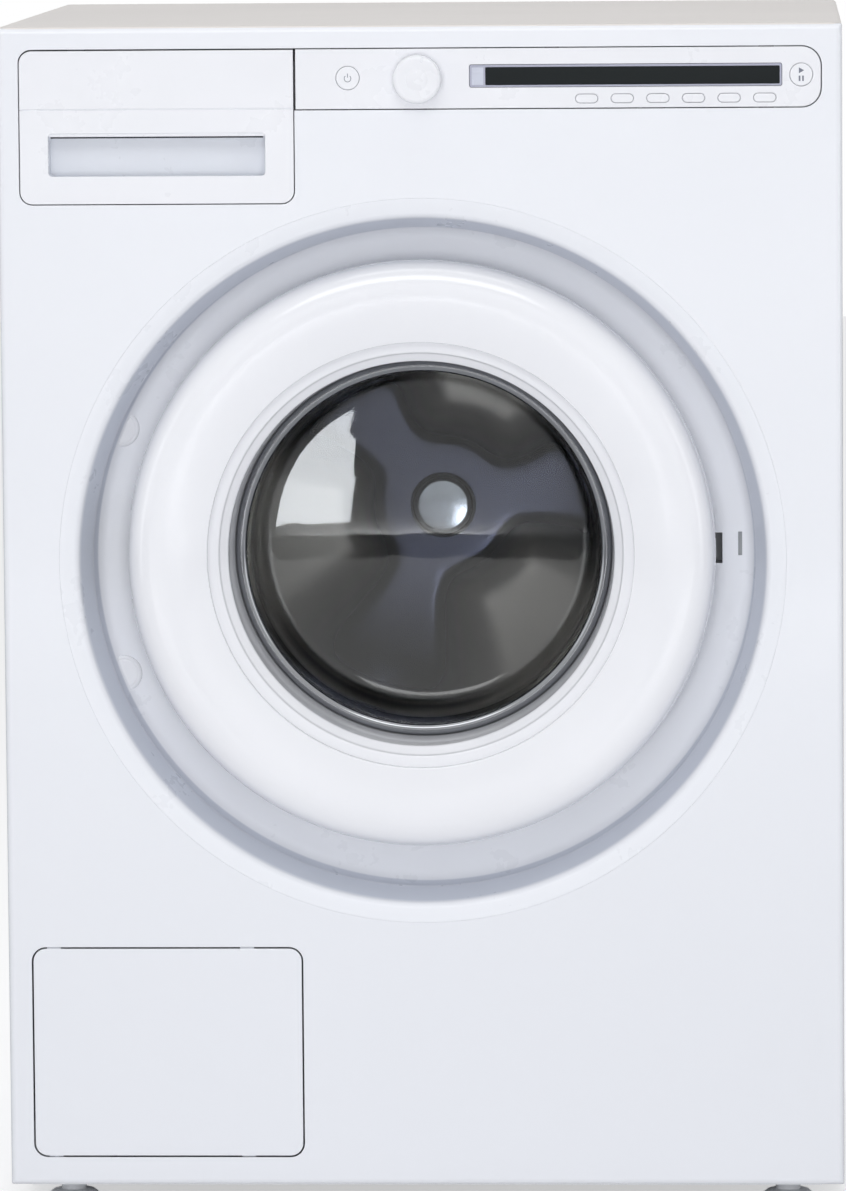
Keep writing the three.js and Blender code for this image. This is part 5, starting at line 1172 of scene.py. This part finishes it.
def lifter_form(turn):
    """One lifter: a rounded ridge along the drum, sloped at its front end."""
    verts = []
    faces = []
    near, far = LIFTER_SPAN
    inner = DRUM_RADIUS - LIFTER_SEAT
    along = [near + (far - near) * (i / LIFTER_ROWS) ** LIFTER_ROW_POWER for i in range(LIFTER_ROWS + 1)]
    across = [i / LIFTER_COLUMNS * 2 - 1 for i in range(LIFTER_COLUMNS + 1)]
    for depth in along:
        rise = LIFTER_HEIGHT * smooth(0, LIFTER_SLOPE, depth - near) ** LIFTER_ROUND_POWER
        rise *= 1 - LIFTER_END_SHARE * smooth(far - LIFTER_END, far, depth)
        for u in across:
            radius = inner - rise * (1 - smooth(LIFTER_CREST_SHARE, 1, abs(u)))
            verts.append(drum_point(turn + u * LIFTER_HALF / inner, radius, depth))
    count = len(across)
    for i in range(len(along) - 1):
        for k in range(count - 1):
            a = i * count + k
            faces.append((a, a + 1, a + count + 1, a + count))
    return verts, faces


class WASHER_OT_drum(WasherOperator, bpy.types.Operator):
    """Builds the door seal and the drum: its rims, holed wall, lifters, pressed star and hub cap"""

    bl_idname = "washer.drum"
    bl_label = "Seal and drum"

    def build(self, look, sizes):
        seal = turned_door(shell_line(softened(SEAL_LINE, SEAL_CORNER), SEAL_WALL), steps=RING_STEPS)
        seal = new_piece("door_seal_ring", seal, None, look.rubber,
                         replaces=["door_seal"])
        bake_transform(seal)

        band_end = DRUM_BAND[1]
        inner = DRUM_RADIUS - DRUM_SHEET
        lip = shell_line(softened(DRUM_LIP, DRUM_LIP_BEND), -DRUM_SHEET)
        rim = [(DRUM_RADIUS, band_end), (DRUM_RADIUS, DRUM_REAR), (inner, DRUM_REAR), (inner, band_end)]
        rims = [turned_door(line, steps=RING_STEPS) for line in (lip, rim)]
        new_piece("drum_rims", join_forms(rims), "drum", look.drum)
        wall = holed_band(inner, HOLE_COLUMNS, sizes.hole_pitch / MM, sizes.hole_radius / MM)
        wall = new_piece("drum_wall", wall, "drum", look.drum, replaces=["drum_shell"])
        thicken(wall, BAND_SHEET)
        for i in range(LIFTER_COUNT):
            lifter = lifter_form(math.radians(ARM_TURN) + i * TAU / LIFTER_COUNT)
            lifter = new_piece(f"drum_lifter_{i + 1}", lifter, "drum", look.drum)
            thicken(lifter, LIFTER_SHEET)
        new_piece("drum_star", star_form(), "drum", look.star, replaces=["drum_back"])
        cap = HUB_FACE + arc(*HUB_EDGE, -math.pi / 2, 0, 8) + HUB_FOOT
        new_piece("drum_hub_cap", turned_door(cap, steps=96, closed=False), "drum", look.hub,
                  replaces=["hub_cap"])


# Control fascia

FASCIA_WALL = 3
FASCIA_EDGE = 0.6
FASCIA_CUT_EDGE = 0.45
KNOB_HOLE = 4.4
KEY_GAP = 0.35
KNOB = (-0.6, 812.1)
POWER = (-49.9, 812.8, 8.1)
START = (268.8, 813.5, 7.9)

PILL_WIDTH = 15.4
PILL_HEIGHT = 5.9
PILL_Z = 797.5
PILL_FIRST = 118.2
PILL_PITCH = 25
PILL_COUNT = 6
PILL_PLACES = [PILL_FIRST + i * PILL_PITCH for i in range(PILL_COUNT)]

WINDOW = (35.7, 805.6, 255.4, 821.8)
WINDOW_RADIUS = 1.5
WINDOW_DEPTHS = (0.5, 3.2)
SURROUND_GAP = 0.3
SURROUND_RADIUS = 1.2
SURROUND_EDGE = 0.25
PANE = (47, 807.2, 253.7, 819.9)
PANE_RADIUS = 0.8
GLASS_RADIUS = 0.7
PANE_FACE = 0.9
PANE_EDGE = 0.15
PANE_GAP = 0.15
PANE_BACKING = (33.9, 257.2, 3.4, 4.9, 803.9, 823.5)
STRIP = (37.4, 807.4, 45.6, 819.7)
STRIP_FACE = 0.35
STRIP_RADIUS = 0.6

# Clip tongues in the gaps above and below the fascia, coloured black as painted shadow of the deep gap.
CLIP_DEPTHS = (0.5, 4.2)
CLIP_HALF = 0.3
SHADOW_CLIPS = {
    FASCIA[3] + PANEL_GAP / 2: ((-61.8, -50.5), (88.8, 98.8), (238.8, 249.5)),
    FASCIA[1] - PANEL_GAP / 2: ((-86, -81.7), (-61.8, -49.8), (-10.7, 5.7), (88.8, 99.5), (157, 173.4),
                                (238.8, 249.5)),
}


def pill(x, grow=0.0):
    """The outline of an option key."""
    half = PILL_WIDTH / 2 + grow
    rise = PILL_HEIGHT / 2 + grow
    return rounded(x - half, PILL_Z - rise, x + half, PILL_Z + rise, rise)


class WASHER_OT_fascia(WasherOperator, bpy.types.Operator):
    """Builds the control fascia, its black clips, which stand as painted shadow in the gaps round it, and its
    display window
    """

    bl_idname = "washer.fascia"
    bl_label = "Control fascia"

    def build(self, look, sizes):
        cut = edge_path(0, FASCIA_WALL, FASCIA_CUT_EDGE)
        outlines = [rounded(*WINDOW, WINDOW_RADIUS), disc(*KNOB, KNOB_HOLE)]
        outlines += [disc(x, z, radius + KEY_GAP) for x, z, radius in (POWER, START)]
        outlines += [pill(x, KEY_GAP) for x in PILL_PLACES]
        fascia = plate(rounded(*FASCIA, (0, FASCIA_RADIUS, FASCIA_RADIUS, 0)),
                       edge_path(0, FASCIA_WALL, FASCIA_EDGE), [(outline, cut) for outline in outlines])
        new_piece("fascia_plate", fascia, "cabinet", look.fascia,
                  replaces=["control_fascia"], flat=True)
        clips = [bar(x0, x1, *CLIP_DEPTHS, z - CLIP_HALF, z + CLIP_HALF, FINE_EDGE)
                 for z, spans in SHADOW_CLIPS.items() for x0, x1 in spans]
        new_piece("fascia_painted_shadow_clips", join_forms(clips), "cabinet", look.black)

        path = edge_path(*WINDOW_DEPTHS, SURROUND_EDGE)
        surround = plate(rounded(*widened(WINDOW, -SURROUND_GAP), SURROUND_RADIUS), path,
                         [(rounded(*PANE, PANE_RADIUS), path)])
        new_piece("window_surround", surround, "cabinet", look.frame)
        pane = plate(rounded(*widened(PANE, -PANE_GAP), GLASS_RADIUS),
                     edge_path(PANE_FACE, WINDOW_DEPTHS[1], PANE_EDGE))
        new_piece("window_pane", join_forms([pane, bar(*PANE_BACKING, SMALL_EDGE)]), "cabinet", look.window,
                  replaces=["display_lens"])
        strip = plate(rounded(*STRIP, STRIP_RADIUS), edge_path(STRIP_FACE, PANE_FACE, FINE_EDGE))
        new_piece("window_light", strip, "cabinet", look.strip)
        coat_node(look.black, "display_module")


# Keys and knob

KEY_DEPTHS = (-0.4, 3.5)
KEY_EDGE = 0.5
FLANGE_DEPTHS = (3.3, 4.5)
FLANGE_WIDTH = 1
MARK_PATH = [(0, -0.43), (0, -0.3)]
POWER_RING = (2.6, 2.1)
POWER_OPENING = 40
POWER_STEPS = 28
POWER_SINK = 0.3
POWER_STEM = (-0.25, 0.4, 0.25, 3.2)
START_ARROW = [(-1.7, 0.8), (2.0, 2.9), (-1.7, 5.0)]
PAUSE_BARS = ((-1.8, -4.6, -0.6, -0.8), (0.6, -4.6, 1.8, -0.8))

KNOB_FACE = [(0, -15.6), (6.9, -15.6), (7.3, -15.45)]
KNOB_BEND = 0.8
KNOB_LINE = [(7.5, -15.2), (8.3, -15.2), (14.5, -16), (16.4, -15.3), (17.1, -13.2), (17.1, -0.5), (4, -0.5),
             (4, 14)]
NOTCH = (-0.8, 0.8, -18, -14.6, 12.5, 19)
NOTCH_TURN = -15


def key_form(outline, flange):
    """A key's cap with rounded edges on a flange behind the fascia."""
    cap = plate(outline, edge_path(*KEY_DEPTHS, KEY_EDGE))
    base = plate(flange, edge_path(*FLANGE_DEPTHS, FINE_EDGE))
    return join_forms([cap, base])


def mark_form(outline):
    """A thin printed mark on a key's face, from points that don't grow."""
    return plate(lambda grow: outline, MARK_PATH)


def moved(x, z, rect):
    """The corners of a rectangle that is counted from a key's middle."""
    left, low, right, high = rect
    return rounded(x + left, z + low, x + right, z + high)(0)


class WASHER_OT_keys(WasherOperator, bpy.types.Operator):
    """Builds the power key, the start key and the row of option keys"""

    bl_idname = "washer.keys"
    bl_label = "Keys"

    def build(self, look, sizes):
        for name, (x, z, radius) in (("power", POWER), ("start", START)):
            new_piece(f"{name}_key_cap", key_form(disc(x, z, radius), disc(x, z, radius + FLANGE_WIDTH)),
                      f"{name}_key", look.key, replaces=[f"{name}_button"], flat=True)
        for i, x in enumerate(PILL_PLACES, 1):
            new_piece(f"option_key_cap_{i}", key_form(pill(x), pill(x, FLANGE_WIDTH)), f"option_key_{i}",
                      look.key, replaces=[f"option_button_{i}"], flat=True)

        x, z, _ = POWER
        ends = [math.radians(angle) for angle in (90 - POWER_OPENING, POWER_OPENING - 270)]
        outer, inner = (arc(x, z - POWER_SINK, radius, radius, *ends, POWER_STEPS)
                        for radius in POWER_RING)
        marks = [mark_form(outer + inner[::-1]), mark_form(moved(x, z, POWER_STEM))]
        new_piece("power_key_mark", join_forms(marks), "power_key", look.mark)
        x, z, _ = START
        marks = [mark_form([(x + a, z + b) for a, b in START_ARROW])]
        marks += [mark_form(moved(x, z, stroke)) for stroke in PAUSE_BARS]
        new_piece("start_key_mark", join_forms(marks), "start_key", look.mark)


class WASHER_OT_knob(WasherOperator, bpy.types.Operator):
    """Builds the program knob: a turned grip with a dished face, a small cap and a pointer notch"""

    bl_idname = "washer.knob"
    bl_label = "Program knob"

    def build(self, look, sizes):
        x, z = KNOB
        line = KNOB_FACE + softened(KNOB_LINE, KNOB_BEND, steps=4) + [(0, KNOB_LINE[-1][1])]
        knob = new_piece("knob_grip", turned(line, x, z, steps=128), "knob", look.key,
                         replaces=["program_knob"])
        verts, faces = bar(*NOTCH, BLOCK_EDGE)
        turn = Matrix.Rotation(math.radians(NOTCH_TURN), 2)
        turned_verts = []
        for across, depth, up in verts:
            a, b = turn @ Vector((across, up))
            turned_verts.append((x + a, depth, z + b))
        cut_out(knob, [(turned_verts, faces)])


# Drawer

CREASE_Z = 791.6
DRAWER_WALL = 2
DRAWER_FACE = 1.4
DRAWER_FACE_EDGE = 0.4
DRAWER_BACK = [(0, 1.0), (0, 3)]
DRAWER_RIM = [(0, 1.5), (0, 9)]
BACK_INSET = 0.3
GRIP = (-261.8, 744.5, -108.6, 774.6)
GRIP_RADIUS = 3
GRIP_EDGE = 0.6
GRIP_BACK_GAP = 1
GRIP_BOX_GAP = 0.02
GRIP_BOX_DEPTHS = (1.2, 19)
GRIP_LIP = (0.5, 1.3, 3.2, -2.2, 0.4)
GRIP_SHADOW_BAR = (1.5, 3.4, 4.4, -3.4, -1.8)


def grip_bar(inset, near, far, low, high, edge):
    """A bar across the finger recess, with heights from the recess's upper edge."""
    left, _, right, top = GRIP
    return bar(left + inset, right - inset, near, far, top + low, top + high, edge)


class WASHER_OT_drawer(WasherOperator, bpy.types.Operator):
    """Builds the dispenser drawer's front with its crease and finger recess"""

    bl_idname = "washer.drawer"
    bl_label = "Dispenser drawer"

    def build(self, look, sizes):
        left, low, right, high = DRAWER
        half = sizes.crease_width / MM / 2
        path = edge_path(0, DRAWER_FACE, DRAWER_FACE_EDGE)
        upper = plate(rounded(left, CREASE_Z + half, right, high, (0, 0, 0, DRAWER_RADIUS)), path)
        lower = plate(rounded(left, low, right, CREASE_Z - half, (DRAWER_RADIUS, DRAWER_RADIUS, 0, 0)), path,
                      [(rounded(*GRIP, GRIP_RADIUS), edge_path(0, DRAWER_FACE, GRIP_EDGE))])
        grip = rounded(*widened(GRIP, GRIP_BACK_GAP), GRIP_RADIUS + GRIP_BACK_GAP)
        back = plate(self.outline(BACK_INSET), DRAWER_BACK, [(grip, DRAWER_BACK)])
        rim = plate(self.outline(0), DRAWER_RIM, [(self.outline(DRAWER_WALL), DRAWER_RIM)])
        new_piece("drawer_face", join_forms([upper, lower, back, rim]), "drawer", look.fascia,
                  replaces=["drawer_front"], flat=True)

        box = cup(rounded(*widened(GRIP, GRIP_BOX_GAP), GRIP_RADIUS), *GRIP_BOX_DEPTHS, DRAWER_WALL)
        # The cup's greyer finish is painted shade in the finger recess.
        new_piece("drawer_grip_cup", box, "drawer", look.cup)
        new_piece("drawer_grip_lip", grip_bar(*GRIP_LIP, BLOCK_EDGE), "drawer", look.fascia)
        # A dark bar under the recess's upper edge: painted shadow of the slit there.
        new_piece("drawer_grip_painted_shadow", grip_bar(*GRIP_SHADOW_BAR, SMALL_EDGE), "drawer", look.gap)
        coat_node(look.pale, "drawer_tray", "dispenser_housing")

    def outline(self, inset):
        """The drawer's own outline, moved in."""
        radius = DRAWER_RADIUS - inset
        return rounded(*widened(DRAWER, -inset), (radius, radius, 0, radius))


# Hatch; a reach is how far a part runs in and out from the hatch's edge

HATCH_DEPTH = 7
HATCH_EDGE = 0.7
HATCH_INNER = [(-2, HATCH_DEPTH), (-2, 2.6), (-2.4, 2.5)]
TAB_REACH = (2, 0.8)
PIN_REACH = (6, 5.1)
PIN_BLOCK_REACH = (6, 0)
TAB_HALF = 5
TAB_DEPTHS = (1.5, 3.5)
PIN_RADIUS = 1.8
PIN_BLOCK_HALF = 2.8
PIN_BLOCK_DEPTHS = (1.2, 7.3)


class WASHER_OT_hatch(WasherOperator, bpy.types.Operator):
    """Builds the hatch over the pump, with its rim, pins and clip tabs"""

    bl_idname = "washer.hatch"
    bl_label = "Pump hatch"

    def build(self, look, sizes):
        _, low, _, high = HATCH
        forms = [plate(rounded(*HATCH, HATCH_RADIUS), edge_path(0, HATCH_DEPTH, HATCH_EDGE) + HATCH_INNER)]
        for edge, up in ((high, 1), (low, -1)):
            tab, pin, block = (sorted((edge - up * inside, edge + up * outside))
                               for inside, outside in (TAB_REACH, PIN_REACH, PIN_BLOCK_REACH))
            for x in (HATCH_PIN_X, HATCH_CLIP_X):
                forms.append(bar(x - TAB_HALF, x + TAB_HALF, *TAB_DEPTHS, *tab, SMALL_EDGE))
            line = [(0, pin[0]), (PIN_RADIUS, pin[0]), (PIN_RADIUS, pin[1]), (0, pin[1])]
            forms.append(upright(line, HATCH_PIN_X, HATCH_PIN_DEPTH, steps=24))
            forms.append(bar(HATCH_PIN_X - PIN_BLOCK_HALF, HATCH_PIN_X + PIN_BLOCK_HALF, *PIN_BLOCK_DEPTHS,
                             *block, SMALL_EDGE))
        new_piece("hatch_cover", join_forms(forms), "hatch", look.panel,
                  replaces=["pump_hatch"], flat=True)


# Inside

HOSE_LOW = (-166, 72.55, 154.3)
HOSE_HIGH = (-109.5, 138, 227.5)
HOSE_RADIUS = 14
HOSE_WALL = 3


class WASHER_OT_inside(WasherOperator, bpy.types.Operator):
    """Builds the ribbed sump hose, and gives the tub, motor, pump and other inner parts their finishes"""

    bl_idname = "washer.inside"
    bl_label = "Inner parts"

    def build(self, look, sizes):
        coat_node(look.grey, "tub_front", "tub_rear", "drain_pump", "door_lock", "damper_cylinder_left",
                  "damper_cylinder_right")
        coat_node(look.plain_steel, "bearing_front", "bearing_rear", "motor_pulley", "damper_rod_left",
                  "damper_rod_right")
        coat_node(look.cast, "motor", "drum_spider", "drum_pulley")
        coat_node(look.stone, "counterweight")
        coat_node(look.heater, "heater")
        coat_node(look.belt, "drive_belt")
        pipe = new_piece("sump_hose_ribbed", hose(HOSE_LOW, HOSE_HIGH, HOSE_RADIUS, HOSE_WALL), None,
                         look.belt, replaces=["sump_hose"])
        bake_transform(pipe)
        coat_node(look.black, "filter_plug", "mains_gland")
        coat_node(look.pale, "inlet_valve")


# Stage, in metres; a lamp has its width, its height and its place

FLOOR_HALF = 9
FLOOR_GLOW = 0.5
MACHINE_MIDDLE = (0, FRONT, 0.45)
FRONT_LAMP = (1.8, 1.4, (0.1, -4.6, 0.35))
KEY_LAMP = (2.2, 1.2, (-0.2, -3.0, 2.5))
TOP_LAMP = (2, 2, (0, FRONT, 3.3))
WINDOW_LAMP = (0.3, 0.3, (0.27, -1.5, 0.15))
SIDE_LAMP = (0.6, 1.6, (2.3, -2.1, 0.8))
DAYLIGHT = (0.93, 0.96, 1)
COOL_WHITE = (0.96, 0.98, 1)
SURROUNDING_COLOR = (0.97, 0.985, 1, 1)
PLAIN_WHITE = (1, 1, 1, 1)
CAMERA_SPOT = (0.25, 1.025)
CAMERA_AIM = (0.0004, 0.4468)
CAMERA_ROLL = -0.443


def area_lamp(name, power, width, height, spot, target, color=(1, 1, 1)):
    """A rectangular lamp that faces a target."""
    lamp = bpy.data.lights.new(name, "AREA")
    lamp.shape = "RECTANGLE"
    lamp.size = width
    lamp.size_y = height
    lamp.energy = power
    lamp.color = color
    shown = bpy.data.objects.new(name, lamp)
    bpy.context.scene.collection.objects.link(shown)
    shown.location = spot
    shown.rotation_euler = (Vector(target) - Vector(spot)).to_track_quat("-Z", "Y").to_euler()
    return shown


class WASHER_OT_stage(bpy.types.Operator):
    """Sets the floor, the surroundings, the lamps and the camera"""

    bl_idname = "washer.stage"
    bl_label = "Stage"
    bl_options = {"REGISTER", "UNDO"}

    def execute(self, context):
        scene = context.scene
        stage = scene.washer_stage
        self.floor(scene, stage)
        self.surroundings(scene, stage)
        self.lamps(stage)
        self.camera(scene, stage)
        scene.view_settings.view_transform = "Standard"
        return {"FINISHED"}

    def floor(self, scene, stage):
        mesh = bpy.data.meshes.new("studio_floor")
        corners = [(a * FLOOR_HALF, b * FLOOR_HALF, 0) for a, b in ((-1, -1), (1, -1), (1, 1), (-1, 1))]
        mesh.from_pydata(corners, [], [(0, 1, 2, 3)])
        floor = bpy.data.objects.new("studio_floor", mesh)
        scene.collection.objects.link(floor)
        n = Nodes("floor_paper")
        color = tuple(stage.floor_color)
        n.color(n.noise(3, 2), color, darker(color, 0.99))
        n.set(Roughness=0.9, Specular_IOR_Level=0.1)
        glow = n.add("ShaderNodeEmission")
        glow.inputs["Color"].default_value = PLAIN_WHITE
        seen = n.add("ShaderNodeLightPath").outputs["Is Camera Ray"]
        n.link(n.combine("MULTIPLY", seen, FLOOR_GLOW), glow.inputs["Strength"])
        both = n.add("ShaderNodeAddShader")
        n.link(n.shader.outputs["BSDF"], both.inputs[0])
        n.link(glow.outputs["Emission"], both.inputs[1])
        n.link(both.outputs["Shader"], n.tree.nodes["Material Output"].inputs["Surface"])
        mesh.materials.append(n.material)

    def surroundings(self, scene, stage):
        world = bpy.data.worlds.new("studio")
        scene.world = world
        world.use_nodes = True
        nodes = world.node_tree.nodes
        link = world.node_tree.links.new
        nodes.clear()
        mix = nodes.new("ShaderNodeMixShader")
        backgrounds = ((SURROUNDING_COLOR, stage.ambient), (PLAIN_WHITE, 1))
        for i, (color, strength) in enumerate(backgrounds, 1):
            background = nodes.new("ShaderNodeBackground")
            background.inputs["Color"].default_value = color
            background.inputs["Strength"].default_value = strength
            link(background.outputs["Background"], mix.inputs[i])
        path = nodes.new("ShaderNodeLightPath")
        seen = path.outputs["Is Camera Ray"]
        for ray in ("Is Glossy Ray", "Is Transmission Ray"):
            either = nodes.new("ShaderNodeMath")
            either.operation = "MAXIMUM"
            link(seen, either.inputs[0])
            link(path.outputs[ray], either.inputs[1])
            seen = either.outputs["Value"]
        link(seen, mix.inputs["Fac"])
        link(mix.outputs["Shader"], nodes.new("ShaderNodeOutputWorld").inputs["Surface"])

    def lamps(self, stage):
        front = area_lamp("front_lamp", stage.front_power, *FRONT_LAMP, MACHINE_MIDDLE)
        front.visible_glossy = False
        front.visible_transmission = False
        area_lamp("key_lamp", stage.key_power, *KEY_LAMP, MACHINE_MIDDLE)
        area_lamp("top_lamp", stage.top_power, *TOP_LAMP, (0, FRONT, 0))
        x, _, z = WINDOW_LAMP[2]
        window = area_lamp("window_lamp", stage.window_power, *WINDOW_LAMP, (x, 0, z), DAYLIGHT)
        window.visible_camera = False
        mirror = bpy.data.collections.new("window_mirror")
        mirror.objects.link(bpy.data.objects["door_pane"])
        window.light_linking.receiver_collection = mirror
        width, height, (x, y, z) = SIDE_LAMP
        for name, side in (("left_lamp", -1), ("right_lamp", 1)):
            area_lamp(name, stage.side_power, width, height, (side * x, y, z), MACHINE_MIDDLE, COOL_WHITE)

    def camera(self, scene, stage):
        view = bpy.data.cameras.new("studio_camera")
        view.sensor_width = 36
        view.lens = stage.lens
        view.clip_end = 60
        camera = bpy.data.objects.new("studio_camera", view)
        scene.collection.objects.link(camera)
        spot = Vector((CAMERA_SPOT[0], FRONT - stage.camera_distance, CAMERA_SPOT[1]))
        aim = Vector((CAMERA_AIM[0], FRONT, CAMERA_AIM[1]))
        turn = (aim - spot).to_track_quat("-Z", "Y").to_matrix().to_4x4()
        roll = Matrix.Rotation(math.radians(CAMERA_ROLL), 4, "Z")
        camera.matrix_world = Matrix.Translation(spot) @ turn @ roll
        scene.camera = camera


OPERATORS = (WASHER_OT_cabinet, WASHER_OT_recess, WASHER_OT_door, WASHER_OT_drum, WASHER_OT_fascia,
             WASHER_OT_keys, WASHER_OT_knob, WASHER_OT_drawer, WASHER_OT_hatch, WASHER_OT_inside,
             WASHER_OT_stage)


class WASHER_PT_panel(bpy.types.Panel):
    """Lists the machine's settings and its pieces"""

    bl_idname = "WASHER_PT_panel"
    bl_label = "Washing machine"
    bl_space_type = "VIEW_3D"
    bl_region_type = "UI"
    bl_category = "Washer"

    def draw(self, context):
        scene = context.scene
        for title, group in (("Colours", scene.washer_look), ("Sizes", scene.washer_sizes),
                             ("Stage", scene.washer_stage)):
            box = self.layout.box()
            box.label(text=title)
            for name in group.bl_rna.properties.keys():
                if name not in {"rna_type", "name"}:
                    box.prop(group, name)
        column = self.layout.column(align=True)
        for operator in OPERATORS:
            column.operator(operator.bl_idname)


GROUPS = {"washer_look": WasherLook, "washer_sizes": WasherSizes, "washer_stage": WasherStage}
CLASSES = (*GROUPS.values(), *OPERATORS, WASHER_PT_panel)


def register():
    for cls in CLASSES:
        bpy.utils.register_class(cls)
    for name, group in GROUPS.items():
        setattr(bpy.types.Scene, name, bpy.props.PointerProperty(type=group))


def unregister():
    for name in GROUPS:
        delattr(bpy.types.Scene, name)
    for cls in reversed(CLASSES):
        bpy.utils.unregister_class(cls)


def main():
    register()
    for name in ("cabinet", "recess", "door", "drum", "fascia", "keys", "knob", "drawer", "hatch", "inside",
                 "stage"):
        getattr(bpy.ops.washer, name)()
    bpy.context.view_layer.update()


if __name__ == "__main__":
    main()
